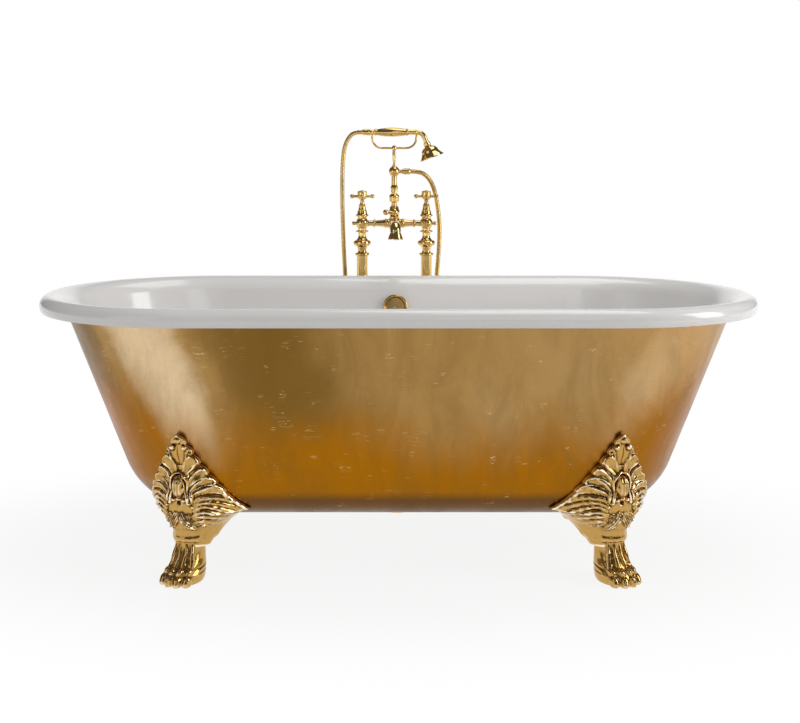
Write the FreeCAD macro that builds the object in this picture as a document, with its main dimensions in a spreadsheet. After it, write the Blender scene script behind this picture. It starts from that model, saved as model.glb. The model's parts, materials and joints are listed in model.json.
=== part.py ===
import FreeCAD, Part
import math
import os
import Sketcher
from FreeCAD import Placement, Rotation, Vector

# Roll-top cast iron bath on four claw feet, with a two-pillar bath and shower mixer standing
# on the floor behind it. Lengths are in millimetres, angles in degrees. X runs along the bath,
# +Y points from the bath towards the mixer, and the floor is Z = 0.

sizes = {
    # casting and enamel
    "rimLength": 1700, "rimWidth": 770, "rimHeight": 615,
    "rollRadius": 24, "flareRadius": 46, "flareAngle": 17, "lipAngle": 35,
    "wallThickness": 7, "enamelThickness": 1.5,
    "baseHeight": 129, "baseLength": 1218, "baseWidth": 470, "baseRound": 95, "baseInset": 80,
    # claw feet
    "footX": 458, "footY": 218, "footTurn": 22,
    "pawHeight": 96, "pawWidth": 84, "pawDepth": 100, "toeWidth": 24, "toeDepth": 38, "toeHeight": 30,
    "collarRadius": 37, "collarWire": 7, "collarHeight": 104,
    "calfHeight": 150, "calfWidth": 230, "calfDepth": 104, "calfWall": 13,
    "plateTop": 324, "plateLow": 118, "plateTip": 153, "plateWidth": 246, "plateWaist": 84,
    "plateThickness": 13, "plateReach": 190, "seatGap": 0.4,
    "eggWidth": 44, "eggHeight": 56, "eggDepth": 44, "lobeWidth": 40, "lobeHeight": 44, "lobeDepth": 36,
    "tabWidth": 36, "tabThickness": 12, "tabLength": 92, "boltReach": 70,
    "bossRadius": 17, "bossHeight": 24, "boltRadius": 5, "boltLength": 34, "boltHead": 17,
    "boltHeadHeight": 7, "washerRadius": 11, "washerThickness": 2, "boltClearance": 0.4,
    "threadClearance": 0.05,
    # waste
    "drainBack": 85, "drainRadius": 26, "gasketThickness": 2, "gasketOuter": 33, "tailRadius": 22.5,
    "tailWall": 3, "tailLength": 46, "flangeOuter": 35, "flangeThickness": 4,
    "strainerDepth": 14, "strainerThickness": 3, "strainerHole": 4.5, "strainerCircle": 12.5,
    "lowerGasketThickness": 3, "cupRadius": 36, "cupWall": 5, "cupDepth": 63.5, "wasteFit": 0.1,
    "drainPipeRadius": 20, "drainPipeWall": 3, "drainPipeHeight": 84, "teeRadius": 24,
    "teeTop": 126, "teeFoot": 46, "outletEnd": 12,
    "plugRadius": 28, "plugThickness": 6, "plugGap": 0.3, "stemRadius": 4, "stemLength": 40,
    "sealRadius": 15, "sealWire": 1.6, "runningFit": 0.05,
    # overflow
    "overflowHeight": 534, "overflowHole": 22, "bezelRadius": 32, "bezelWidth": 5, "bezelThickness": 7,
    "dialRadius": 26.6, "dialThickness": 6, "dialGap": 0.3, "dialShaft": 4, "dialShaftLength": 45,
    "dialScrewRadius": 4, "dialScrewHeight": 1.6, "overflowGasket": 2, "elbowRadius": 27,
    "elbowWall": 4, "elbowLength": 44, "overflowBack": 352, "overflowPipeRadius": 13,
    "overflowPipeWall": 2, "nutRadius": 18, "nutHeight": 16, "cableRadius": 1.5, "cableBend": 18,
    # pillars of the mixer
    "pillarSpacing": 180, "pillarGap": 74, "floorFlangeRadius": 34, "floorFlangeHeight": 24,
    "flangeHole": 2.6, "flangeHoleCircle": 25.5, "pipeRadius": 15.2, "pipeWall": 2, "pipeFit": 0.1,
    "supplyBore": 11, "supplyDepth": 25, "pipeHeight": 661,
    "pillarHeight": 72, "bulbRadius": 24.4, "waterway": 8,
    "valveHeight": 39, "valveRadius": 17.7, "valveCentre": 19.2, "armBore": 5,
    "valveStubRadius": 8.3, "valveStubLength": 18, "capStubRadius": 4.5, "capStubLength": 19.5,
    "checkCapRadius": 5.6, "checkCapLength": 9,
    "bonnetHeight": 44, "bonnetRadius": 18, "cartridgeRadius": 7, "cartridgeFit": 0.1,
    "cartridgeRise": 17, "cartridgeDrop": 18, "spindleRadius": 3, "spindleDrop": 14,
    "spindleSocket": 12, "handleGap": 0.3, "hubHeight": 26, "hubRadius": 13.3, "armReach": 28.5,
    "armHeight": 11.8, "armRadius": 4, "armBall": 6.2, "indexCapRadius": 9, "indexCapHeight": 3,
    # bridge, spout and diverter
    "bridgeArmRadius": 13.5, "bodyReach": 18, "bodyRadius": 17, "bodyHeight": 36, "bodyDrop": 19,
    "frontBoss": 20, "frontBossRadius": 15.2, "spoutRadius": 14.2, "spoutWall": 2.5, "spoutRun": 144,
    "spoutBend": 16, "bellHeight": 18, "bellRadius": 20,
    "diverterHeight": 44, "diverterRadius": 13, "diverterAxis": 15, "diverterFace": 22,
    "diverterFaceRadius": 14.7, "leverShaft": 3, "leverShaftLength": 12, "leverGap": 0.3,
    "leverHub": 9, "leverHubThickness": 8, "leverLength": 24, "leverRadius": 6.4, "leverBall": 8,
    # riser and cradle
    "riserNutHeight": 23, "riserNutRadius": 14, "riserHeight": 46,
    "riserRadius": 10, "riserBore": 5, "ballHeight": 33, "ballRadius": 15, "ballCentre": 15.6,
    "outletReach": 29, "outletRadius": 8, "stemHeight": 48.3, "cradleStem": 5.6,
    "wireRadius": 3, "wireCorner": 28, "saddleHalf": 62, "saddleGap": 0.3, "prongHeight": 5,
    "handsetRise": 44.7,
    # handset and hose
    "handsetTube": 7.2, "handsetBore": 4, "gripLength": 96, "gripRadius": 12.8, "gripStart": 55.5,
    "tailEnd": 70, "tailRing": 9.4, "neckStart": 40.5, "neckBend": 63, "neckRadius": 24, "neckTilt": 69,
    "neckRun": 13.5, "roseHeight": 46, "roseRadius": 34.8, "rosePlateRadius": 31.8, "roseHole": 0.9,
    "roseRingSmall": 10, "roseRingLarge": 21,
    "hoseNutRadius": 9.4, "handsetNutLength": 20, "outletNutLength": 16,
    "hoseRadius": 6.3, "hoseGroove": 0.5, "hoseBore": 4.5,
}

# How many of each there are.
strainerHoles = 6
flangeHoles = 3
handleArms = 4
smallHoles = 8
largeHoles = 16

# Heights, as shares of the round at the foot of the bath's walls, and how far each level is set
# in: a quarter turn in even steps.
roundShares = [(0.0, 1.0), (0.0341, 0.7412), (0.134, 0.5), (0.2929, 0.2929), (0.5, 0.134),
               (0.7412, 0.0341), (1.0, 0.0)]

# Turned outlines: share of the radius and share of the height, from the bottom up. A row of four
# is a round stretch through its first pair to its second.
flangeShares = [(1.0, 0.0), (1.0, 0.14), (0.97, 0.21, 0.88, 0.25), (0.72, 0.33),
                (0.58, 0.42, 0.55, 0.62), (0.55, 0.8), (0.62, 0.85, 0.55, 0.92), (0.55, 1.0)]
pillarShares = [(0.66, 0.0), (0.78, 0.02), (0.815, 0.064, 0.78, 0.108), (0.62, 0.128), (0.5, 0.15),
                (0.48, 0.21, 0.5, 0.26), (0.58, 0.34, 0.86, 0.41), (0.98, 0.445),
                (1.0, 0.5, 0.98, 0.555), (0.84, 0.6), (0.55, 0.67, 0.44, 0.79), (0.44, 0.9),
                (0.68, 0.926), (0.74, 0.96, 0.68, 0.985), (0.6, 1.0)]
valveShares = [(0.66, 0.0), (0.66, 0.14), (1.0, 0.49, 0.7, 0.84), (0.74, 0.9), (0.74, 1.0)]
bonnetShares = [(0.94, 0.0), (1.0, 0.06, 0.94, 0.12), (0.82, 0.14), (0.74, 0.26, 0.72, 0.38),
                (0.58, 0.42), (0.56, 0.55, 0.56, 0.64), (0.48, 0.66), (0.54, 0.71, 0.48, 0.76),
                (0.36, 0.79), (0.33, 0.9, 0.36, 1.0)]
hubShares = [(0.42, 0.0), (0.46, 0.08), (0.84, 0.2, 0.98, 0.44), (1.0, 0.5), (1.0, 0.86),
             (0.96, 0.97, 0.84, 1.0)]
capEdgeShare = 0.4
# Where an arm meets the ball on its end, as shares of the ball's radius.
neckAlongShare = 0.8
neckAcrossShare = 0.6
bridgeShares = [(0.61, 0.0), (0.59, 0.24), (0.8, 0.26), (0.86, 0.3, 0.8, 0.34), (0.62, 0.36),
                (0.7, 0.6, 0.8, 0.83), (0.95, 0.85), (1.0, 0.89, 0.95, 0.93), (0.84, 0.95), (0.92, 1.0)]
bodyShares = [(0.2, 0.0), (0.56, 0.03, 0.78, 0.12), (0.98, 0.3, 1.0, 0.52), (0.98, 0.75, 0.82, 0.92),
              (0.82, 1.0)]
diverterShares = [(0.9, 0.0), (1.0, 0.08), (1.0, 0.56), (0.9, 0.66, 0.66, 0.72), (0.6, 0.8),
                  (0.6, 0.93), (0.72, 1.0)]
riserNutShares = [(0.94, 0.0), (0.98, 0.03), (1.0, 0.5), (0.94, 0.78, 0.64, 0.93), (0.6, 0.95), (0.6, 1.0)]
riserShares = [(0.83, 0.0), (0.83, 0.06), (0.93, 0.09), (0.93, 0.24), (1.07, 0.32), (1.07, 0.35),
               (0.77, 0.52), (0.77, 0.93), (0.8, 0.95), (0.8, 1.0)]
outletShares = [(0.72, 0.5), (0.72, 0.78), (1.0, 0.82), (1.0, 1.0)]
cradleShares = [(0.62, 0.0), (0.6, 0.14), (0.84, 0.3), (0.9, 0.56), (1.0, 0.62), (0.9, 0.68), (0.84, 0.86),
                (1.1, 0.92), (1.18, 1.0, 1.0, 1.09)]
cradleTopShare = 1.17
gripShares = [(0.72, 0.0), (0.78, 0.03, 0.72, 0.06), (0.66, 0.08), (1.0, 0.48, 0.7, 0.92),
              (0.8, 0.94, 0.7, 0.98), (0.68, 1.0)]
hoseNutShares = [(0.94, 0.0), (1.0, 0.05), (1.0, 0.34), (0.86, 0.38), (0.86, 0.5), (0.94, 0.54),
                 (0.94, 0.82),
                 (0.74, 1.0)]
roseShares = [(0.22, 0.0), (0.295, 0.04), (0.295, 0.2), (0.26, 0.23), (0.29, 0.29),
              (0.55, 0.395, 0.67, 0.52), (0.72, 0.66), (0.82, 0.79, 0.97, 0.92), (1.0, 0.94), (1.0, 1.0)]
roseHollowShares = [(0.93, 1.0), (0.93, 0.945), (0.84, 0.945), (0.74, 0.81, 0.64, 0.66), (0.59, 0.54),
                    (0.46, 0.43, 0.2, 0.345)]
# How much of its flare the spout's mouth has half way down.
bellWaistShare = 0.58

tailShare = 0.25
ballShares = [(0.5, 0.0), (0.5, 0.07), (1.0, 0.473, 0.42, 0.9), (0.42, 1.0)]
# Where the hose's corners lie from its two ends, in millimetres, and its ribs: how many, and where
# each rib's four rings stand in its pitch.
hoseFromOutlet = [(25, 0, 0), (47, 4, -12), (64, 20, -37), (74, 38, -70), (81, 46, -108), (86, 50, -163),
                  (82, 53, -250), (71.5, 54, -362), (54, 54, -470), (22, 54, -552), (-30, 54, -594)]
hoseFromHandset = [(-22, 0, 0), (-39, 0, -16), (-50.5, 0, -44), (-55, 1, -87), (-56.5, 4, -142),
                   (-56, 10, -210), (-53.5, 20, -305), (-48, 32, -415), (-41.5, 44, -525),
                   (-26, 52, -618), (12, 54, -681), (59, 54, -706)]
ribCount = 200
boreSteps = 200
arcShare = 0.45
ribShares = [0.0, 0.15, 0.35, 0.5]

# Levels of the leg: share of its height, of the paw's width and depth, and of the depth for how
# far the level stands forward.
legShares = [(0.0, 0.94, 0.96, 0.14), (0.2, 1.0, 1.0, 0.15), (0.42, 0.95, 0.9, 0.1),
             (0.66, 0.82, 0.76, 0.03), (0.84, 0.8, 0.7, 0.0), (1.0, 0.9, 0.78, 0.0)]
calfShares = [(0.0, 0.34, 0.74, 0.0), (0.13, 0.39, 0.8, -0.02), (0.26, 0.487, 0.92, -0.02),
              (0.38, 0.643, 1.04, -0.04), (0.47, 0.73, 1.06, -0.04), (0.6, 0.748, 1.0, 0.0),
              (0.78, 0.643, 0.86, 0.06), (1.0, 0.34, 0.6, 0.2)]
# Toes across the paw, as shares of its width and depth.
toeShares = [(-0.4, 0.42), (-0.14, 0.55), (0.14, 0.55), (0.4, 0.42)]
# Leaf lobes on the foot's plate: shares of its width and of its height, the depth that the plate
# stands out there as a share of its reach, and the lobe's size.
lobeShares = [(0.17, 0.32, 0.11, 1.0), (0.3, 0.2, 0.01, 0.9), (0.38, 0.12, -0.1, 0.8),
              (0.1, 0.72, 0.23, 0.62)]
eggShare = 0.47
eggForwardShare = 0.19
knobShare = 0.97
knobForwardShare = 0.31
knobSizeShare = 0.56
lobeSlantShare = 0.125
scallopShare = 0.06
scallopShares = [0.0, 0.24, 0.46, 0.66, 0.84, 1.0]


class Size:
    """A size as a number together with the expression that binds to it."""

    def __init__(self, value, text):
        self.value = value
        self.text = text

    def __float__(self):
        return float(self.value)

    def __add__(self, other):
        other = asSize(other)
        return Size(self.value + other.value, f"({self.text} + {other.text})")

    def __radd__(self, other):
        return asSize(other) + self

    def __sub__(self, other):
        other = asSize(other)
        return Size(self.value - other.value, f"({self.text} - {other.text})")

    def __rsub__(self, other):
        return asSize(other) - self

    def __mul__(self, other):
        other = asSize(other)
        return Size(self.value * other.value, f"({self.text} * {other.text})")

    __rmul__ = __mul__

    def __truediv__(self, other):
        other = asSize(other)
        return Size(self.value / other.value, f"({self.text} / {other.text})")

    def __neg__(self):
        return Size(-self.value, f"(-1 * {self.text})")


def asSize(value):
    return value if isinstance(value, Size) else Size(value, repr(value))


def cosine(angle):
    return Size(math.cos(math.radians(angle.value)), f"cos({angle.text} * 1deg)")


def sine(angle):
    return Size(math.sin(math.radians(angle.value)), f"sin({angle.text} * 1deg)")


def arcTangent(ratio):
    return Size(math.degrees(math.atan(ratio.value)), f"(atan({ratio.text}) / 1deg)")


doc = FreeCAD.newDocument("RollTopBath")
sheet = doc.addObject("Spreadsheet::Sheet", "Sizes")
for row, (name, value) in enumerate(sizes.items(), 1):
    sheet.set(f"A{row}", name)
    sheet.set(f"B{row}", str(value))
    sheet.setAlias(f"B{row}", name)
doc.recompute()


class Table:
    """The sheet's sizes by name."""

    def __getattr__(self, name):
        return Size(float(sizes[name]), f"Sizes.{name}")


table = Table()
zero = 0.0
upAxis = Vector(0, 0, 1)
alongX = Rotation(Vector(0, 1, 0), 90)
alongMinusX = Rotation(Vector(0, 1, 0), -90)
alongMinusY = Rotation(Vector(1, 0, 0), 90)
nodes = []
constraint = Sketcher.Constraint


def bind(thing, path, size):
    size = asSize(size)
    if "Sizes." in size.text:
        thing.setExpression(path, size.text)


def keep(thing, label):
    """Marks an object as one of the pieces, under its own name."""
    thing.Label = label
    nodes.append(thing)
    return thing


def place(thing, x=zero, y=zero, z=zero, turn=None, angle=None):
    rotation = turn or Rotation()
    thing.Placement = Placement(Vector(float(x), float(y), float(z)), rotation)
    for axis, size in zip("xyz", (x, y, z)):
        bind(thing, f"Placement.Base.{axis}", size)
    if angle is not None:
        bind(thing, "Placement.Rotation.Angle", angle)
    return thing


def newBody(name):
    return doc.addObject("PartDesign::Body", name)


def sketchOn(body, name, role, right=zero, up=zero, out=zero):
    """A sketch on one of the body's own planes, moved right and up in the plane and out of it."""
    sketch = body.newObject("Sketcher::SketchObject", name)
    plane = next(feature for feature in body.Origin.OriginFeatures if feature.Role == role)
    sketch.AttachmentSupport = [(plane, "")]
    sketch.MapMode = "FlatFace"
    sketch.AttachmentOffset = Placement(Vector(float(right), float(up), float(out)), Rotation())
    for axis, size in zip("xyz", (right, up, out)):
        bind(sketch, f"AttachmentOffset.Base.{axis}", size)
    return sketch


def pinPoint(sketch, geometry, end, right, up, found, bound):
    """Holds one end of an edge at its distances from the sketch's two axes."""
    for kind, size, axis in (("DistanceX", right, -2), ("DistanceY", up, -1)):
        size = asSize(size)
        if size.value == 0 and "Sizes." not in size.text:
            found.append(constraint("PointOnObject", geometry, end, axis))
        else:
            bound.append((len(found), size))
            found.append(constraint(kind, -1, 1, geometry, end, size.value))


def drawRun(sketch, points, closed=True):
    """Draws lines and arcs through points: a pair ends a line, four numbers an arc through the
    first pair to the second."""
    spots = [tuple(asSize(number) for number in point) for point in points]
    edges = []
    last = spots[0]
    for spot in spots[1:] + spots[:1] * closed:
        if (spot[-2].value, spot[-1].value) == (last[-2].value, last[-1].value):
            continue
        start, end = Vector(last[-2].value, last[-1].value, 0), Vector(spot[-2].value, spot[-1].value, 0)
        if len(spot) == 2:
            edges.append((Part.LineSegment(start, end), last, spot))
        else:
            middle = Vector(spot[0].value, spot[1].value, 0)
            edges.append((Part.Arc(start, middle, end), last, spot))
        last = spot
    numbers = list(sketch.addGeometry([edge[0] for edge in edges], False))
    found, bound, ends = [], [], []
    for number, (edge, start, spot) in zip(numbers, edges):
        first = sketch.getPoint(number, 1)
        nearStart = first.distanceToPoint(Vector(start[-2].value, start[-1].value, 0))
        nearEnd = first.distanceToPoint(Vector(spot[-2].value, spot[-1].value, 0))
        ends.append((1, 2) if nearStart <= nearEnd else (2, 1))
    for index, number in enumerate(numbers):
        if index or closed:
            found.append(constraint("Coincident", numbers[index - 1], ends[index - 1][1], number,
                                    ends[index][0]))
        pinPoint(sketch, number, ends[index][0], edges[index][1][-2], edges[index][1][-1], found, bound)
    if not closed:
        pinPoint(sketch, numbers[-1], ends[-1][1], edges[-1][2][-2], edges[-1][2][-1], found, bound)
    for number, (edge, start, spot) in zip(numbers, edges):
        if len(spot) == 4:
            mark = sketch.addGeometry(Part.Point(Vector(spot[0].value, spot[1].value, 0)), True)
            found.append(constraint("PointOnObject", mark, 1, number))
            pinPoint(sketch, mark, 1, spot[0], spot[1], found, bound)
    sketch.addConstraint(found)
    for index, size in bound:
        bind(sketch, f"Constraints[{index}]", size)
    return sketch


def drawCircle(sketch, right, up, radius):
    number = sketch.addGeometry(Part.Circle(Vector(float(right), float(up), 0), upAxis, float(radius)),
                                False)
    found, bound = [], []
    pinPoint(sketch, number, 3, right, up, found, bound)
    bound.append((len(found), asSize(radius)))
    found.append(constraint("Radius", number, float(radius)))
    sketch.addConstraint(found)
    for index, size in bound:
        bind(sketch, f"Constraints[{index}]", size)
    return sketch


def scaled(shares, radius, height):
    return [tuple(share * (radius, height)[index % 2] if share else asSize(zero) for index,
                  share in enumerate(row))
            for row in shares]


def hollowed(points, bore, start=zero, end=None):
    """Closes a turned outline along a straight bore, or along its axis where there is none."""
    top = points[-1][-1] if end is None else end
    return points + [(bore, top), (bore, start)]


def dome(radius, low, high):
    """The outline of a domed end, from its edge to the axis, as part of a ball."""
    rise = high - low
    slope = arcTangent(rise / radius)
    ball = (radius * radius + rise * rise) / (rise * 2)
    return [(radius, low), (ball * sine(slope), high - ball + ball * cosine(slope), asSize(zero), high)]


def domedCap(radius, height):
    return [(zero, zero), (radius, zero)] + dome(radius, height * capEdgeShare, height)


def ballEnd(centre, radius, way):
    """The outline of a ball on the end of an arm, from its neck to the axis."""
    return [(centre - radius * neckAlongShare * way, radius * neckAcrossShare),
            (centre, radius, centre + radius * way, zero)]


def spin(body, name, points, role="XZ_Plane", axis="V_Axis", kind="Revolution", up=zero, out=zero):
    sketch = drawRun(sketchOn(body, name + "Outline", role, up=up, out=out), points)
    feature = body.newObject("PartDesign::" + kind, name)
    feature.Profile = sketch
    feature.ReferenceAxis = (sketch, [axis])
    feature.Angle = 360
    return feature


def turned(label, points, x=zero, y=zero, z=zero, turn=None, angle=None):
    body = newBody(label)
    spin(body, label + "Turn", points)
    place(body, x, y, z, turn, angle)
    return keep(body, label)


def tube(outer, inner, low, high):
    return [(outer, low), (outer, high), (inner, high), (inner, low)]


def pipe(body, name, spine, section, kind="AdditivePipe"):
    feature = body.newObject("PartDesign::" + kind, name)
    feature.Profile = section
    feature.Spine = (spine, [f"Edge{index + 1}" for index in range(len(spine.Shape.Edges))])
    return feature


def primitive(kind, name, **values):
    thing = doc.addObject("Part::" + kind, name)
    for key, size in values.items():
        setattr(thing, key, float(size))
        bind(thing, key, size)
    return thing


def fused(name, *things):
    result = doc.addObject("Part::MultiFuse", name)
    result.Shapes = list(things)
    return result


def combined(kind, name, base, tool):
    result = doc.addObject("Part::" + kind, name)
    result.Base = base
    result.Tool = tool
    return result


def axisOf(body, role):
    return next(feature for feature in body.Origin.OriginFeatures if feature.Role == role)


def pattern(body, name, features, count, role="Z_Axis"):
    around = body.newObject("PartDesign::PolarPattern", name)
    around.Originals = features
    around.Axis = (axisOf(body, role), [""])
    around.Angle = 360
    around.Occurrences = count
    body.Tip = around
    return around


def pocket(body, name, sketch, depth, reverse=False):
    doc.recompute()
    feature = body.newObject("PartDesign::Pocket", name)
    feature.Profile = sketch
    feature.Length = float(depth)
    bind(feature, "Length", depth)
    feature.Reversed = reverse
    return feature


# The bath's middle lies in front of the origin, which is the middle of bath and mixer together.
pillarBack = table.rimWidth / 2 + table.pillarGap
bathY = (table.rimWidth / 2 - pillarBack - table.floorFlangeRadius) / 2
mixerY = bathY + pillarBack

# Casting: two lofts through stadium outlines make each wall, and a swept outline makes the roll.
rimHalf = table.rimLength / 2
rimRadius = table.rimWidth / 2


def stadium(body, name, height, halfLength, halfWidth):
    sketch = sketchOn(body, name, "XY_Plane", out=height)
    straight = halfLength - halfWidth
    run, radius = float(straight), float(halfWidth)
    lower = Part.LineSegment(Vector(-run, -radius, 0), Vector(run, -radius, 0))
    right = Part.ArcOfCircle(Part.Circle(Vector(run, 0, 0), upAxis, radius), -math.pi / 2, math.pi / 2)
    upper = Part.LineSegment(Vector(run, radius, 0), Vector(-run, radius, 0))
    left = Part.ArcOfCircle(Part.Circle(Vector(-run, 0, 0), upAxis, radius), math.pi / 2, 3 * math.pi / 2)
    sketch.addGeometry([lower, right, upper, left], False)
    sketch.addConstraint([
        constraint("Tangent", 0, 2, 1, 1), constraint("Tangent", 1, 2, 2, 1),
        constraint("Tangent", 2, 2, 3, 1), constraint("Tangent", 3, 2, 0, 1),
        constraint("PointOnObject", 1, 3, -1), constraint("PointOnObject", 3, 3, -1),
        constraint("DistanceX", -1, 1, 1, 3, run), constraint("DistanceX", 3, 3, -1, 1, run),
        constraint("Radius", 1, radius)])
    bind(sketch, "Constraints[6]", straight)
    bind(sketch, "Constraints[7]", straight)
    bind(sketch, "Constraints[8]", halfWidth)
    return sketch


def wallTop(depth):
    """Where the wall's surface, the given depth under the enamel, meets the roll: how far in from
    the rim's edge, and its height."""
    radius = table.flareRadius - depth
    inward = table.rollRadius + radius * cosine(table.flareAngle)
    return inward, table.rimHeight - table.flareRadius + radius * sine(table.flareAngle)


def bathForm(name, depth, grow=zero):
    """The solid bounded by the bath's wall at a depth under the enamel, or grown outwards."""
    full = table.wallThickness + table.enamelThickness
    inward, top = wallTop(depth)
    shrink = full - depth - grow
    low = table.baseHeight + shrink
    baseLong, baseWide = table.baseLength / 2 - shrink, table.baseWidth / 2 - shrink
    topLong, topWide = rimHalf - inward + grow, rimRadius - inward + grow
    body = newBody(name)
    roundHeight, roundIn = table.baseRound - shrink, table.baseInset - shrink

    def section(index, height, inset):
        share = (height - low) / (top - low)
        halfLong = baseLong + (topLong - baseLong) * share - inset
        halfWide = baseWide + (topWide - baseWide) * share - inset
        return stadium(body, f"{name}Level{index}", height, halfLong, halfWide)

    levels = [section(index, low + roundHeight * rise, roundIn * inset)
              for index, (rise, inset) in enumerate(roundShares)]
    levels.append(section(len(levels), top, zero))
    foot = body.newObject("PartDesign::AdditiveLoft", name + "Round")
    foot.Profile = levels[0]
    foot.Sections = levels[1:-1]
    wall = body.newObject("PartDesign::AdditiveLoft", name + "Wall")
    wall.Profile = levels[-2]
    wall.Sections = [levels[-1]]
    wall.Ruled = True
    return place(body, y=bathY)


def rollForm(name, near, far, spread):
    """The roll between two depths under the enamel's surface, swept round the rim. Its inner end
    reaches past the wall so that the hollow trims it."""
    body = newBody(name)

    def spot(radius, centre, across, up):
        return -rimRadius + table.rollRadius + radius * across, table.rimHeight - centre + radius * up

    rollNear, rollFar = table.rollRadius - near, table.rollRadius - far
    flareNear, flareFar = table.flareRadius - near, table.flareRadius - far
    cosLip, sinLip = cosine(table.lipAngle), sine(table.lipAngle)
    cosWall, sinWall = cosine(table.flareAngle), sine(table.flareAngle)
    half = asSize(math.sqrt(0.5))
    midAngle = (table.flareAngle + 90) / 2
    cosMid, sinMid = cosine(midAngle), sine(midAngle)
    start = spot(rollNear, table.rollRadius, -cosLip, -sinLip)
    wallNear = spot(flareNear, table.flareRadius, cosWall, sinWall)
    wallFar = spot(flareFar, table.flareRadius, cosWall, sinWall)
    points = [
        start,
        spot(rollNear, table.rollRadius, -half, half) + (-rimRadius + table.rollRadius,
                                                         table.rimHeight - near),
        spot(flareNear, table.flareRadius, cosMid, sinMid) + wallNear,
        (wallNear[0] + spread, wallFar[1]),
        wallFar,
        spot(flareFar, table.flareRadius, cosMid, sinMid) + (-rimRadius + table.rollRadius,
                                                             table.rimHeight - far),
        spot(rollFar, table.rollRadius, -half, half) + spot(rollFar, table.rollRadius, -cosLip, -sinLip)]
    section = drawRun(sketchOn(body, name + "Section", "YZ_Plane"), points)
    spine = sketchOn(body, name + "Spine", "XY_Plane", out=table.rimHeight)
    straight = rimHalf - rimRadius
    drawRun(spine, [(zero, -rimRadius), (straight, -rimRadius), (rimHalf, zero, straight, rimRadius),
                    (-straight, rimRadius), (-rimHalf, zero, -straight, -rimRadius)])
    doc.recompute()
    pipe(body, name + "Sweep", spine, section)
    return place(body, y=bathY)


wallDepth = table.wallThickness + table.enamelThickness
outerForm = bathForm("outerForm", wallDepth)
hollowForm = bathForm("hollowForm", table.enamelThickness)
waterForm = bathForm("waterForm", asSize(zero))
ironRoll = rollForm("ironRoll", table.enamelThickness, wallDepth, table.enamelThickness)
enamelRoll = rollForm("enamelRoll", asSize(zero), table.enamelThickness, table.enamelThickness)

wallRise = wallTop(wallDepth)[1] - table.baseHeight
wallRun = rimRadius - wallTop(wallDepth)[0] - table.baseWidth / 2
wallLean = arcTangent(wallRun / wallRise)
overflowUp = table.overflowHeight - table.baseHeight
overflowWall = table.baseWidth / 2 + wallRun / wallRise * overflowUp
drainY = bathY + table.drainBack
floorTop = table.baseHeight + wallDepth

drainHole = place(primitive("Cylinder", "drainHole", Radius=table.drainRadius, Height=floorTop),
                  y=drainY, z=table.baseHeight - wallDepth)
# Turned so that +Z of a piece on the overflow's axis points into the bath, square to the wall.
overflowTilt = 90 - wallLean


def onOverflow(thing, depth=zero):
    """Puts a piece on the overflow's axis, a depth inside the wall's outer face."""
    y = bathY + overflowWall - depth * cosine(wallLean)
    z = table.overflowHeight + depth * sine(wallLean)
    return place(thing, y=y, z=z, turn=Rotation(Vector(1, 0, 0), float(overflowTilt)), angle=overflowTilt)


overflowHole = primitive("Cylinder", "overflowHole", Radius=table.overflowHole,
                         Height=table.elbowLength * 2)
onOverflow(overflowHole, -table.elbowLength)

bosses, bossHoles = [], []
bossLow = table.baseHeight - table.bossHeight
footSpots = []
for endName, endSide in (("left", -1), ("right", 1)):
    for sideName, side in (("front", -1), ("back", 1)):
        footSpots.append((f"foot_{sideName}_{endName}", endSide, side))
boltX = table.footX - table.boltReach * sine(table.footTurn)
boltY = table.footY - table.boltReach * cosine(table.footTurn)
for name, endSide, side in footSpots:
    boss = primitive("Cylinder", name + "_boss", Radius=table.bossRadius,
                     Height=table.bossHeight + table.wallThickness)
    bosses.append(place(boss, x=endSide * boltX, y=bathY + side * boltY, z=bossLow))
    hole = primitive("Cylinder", name + "_bossHole", Radius=table.boltRadius + table.threadClearance,
                     Height=table.bossHeight)
    bossHoles.append(place(hole, x=endSide * boltX, y=bathY + side * boltY, z=bossLow))

castBlank = fused("castBlank", outerForm, ironRoll, *bosses)
castTools = fused("castTools", drainHole, overflowHole, *bossHoles)
keep(combined("Cut", "tub_shell", combined("Cut", "castHollow", castBlank, hollowForm), castTools),
     "tub_shell")
enamelTools = fused("enamelTools", drainHole, overflowHole)
enamelBlank = combined("Cut", "enamelHollow", fused("enamelBlank", hollowForm, enamelRoll), waterForm)
keep(combined("Cut", "enamel_lining", enamelBlank, enamelTools), "enamel_lining")

# Claw feet: a paw and leg, a collar, a calf and a leaf plate that lies on the bath's wall.
seatForm = bathForm("seatForm", wallDepth, table.seatGap)
plateForm = bathForm("plateForm", wallDepth, table.plateThickness)


def levelLoft(name, shares, low, height, width, depth, deepFirst, ruled=False):
    rings = []
    for index, (rise, wide, deep, forward) in enumerate(shares):
        long, short = (depth * deep, width * wide) if deepFirst else (width * wide, depth * deep)
        ring = primitive("Ellipse", f"{name}Ring{index}", MajorRadius=long / 2, MinorRadius=short / 2)
        turn = Rotation(upAxis, 90) if deepFirst else None
        rings.append(place(ring, y=-depth * forward, z=low + height * rise, turn=turn))
    loft = doc.addObject("Part::Loft", name)
    loft.Sections = rings
    loft.Solid = True
    loft.Ruled = ruled
    return loft


def atFoot(thing, across=zero, forward=zero, up=zero, deepFirst=False):
    """Puts a piece on the front left foot, across it and forward of its leg."""
    cosTurn, sinTurn = cosine(table.footTurn), sine(table.footTurn)
    x = -table.footX + across * cosTurn - forward * sinTurn
    y = bathY - table.footY - across * sinTurn - forward * cosTurn
    return place(thing, x, y, up, Rotation(upAxis, -float(table.footTurn)), -table.footTurn)


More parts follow.
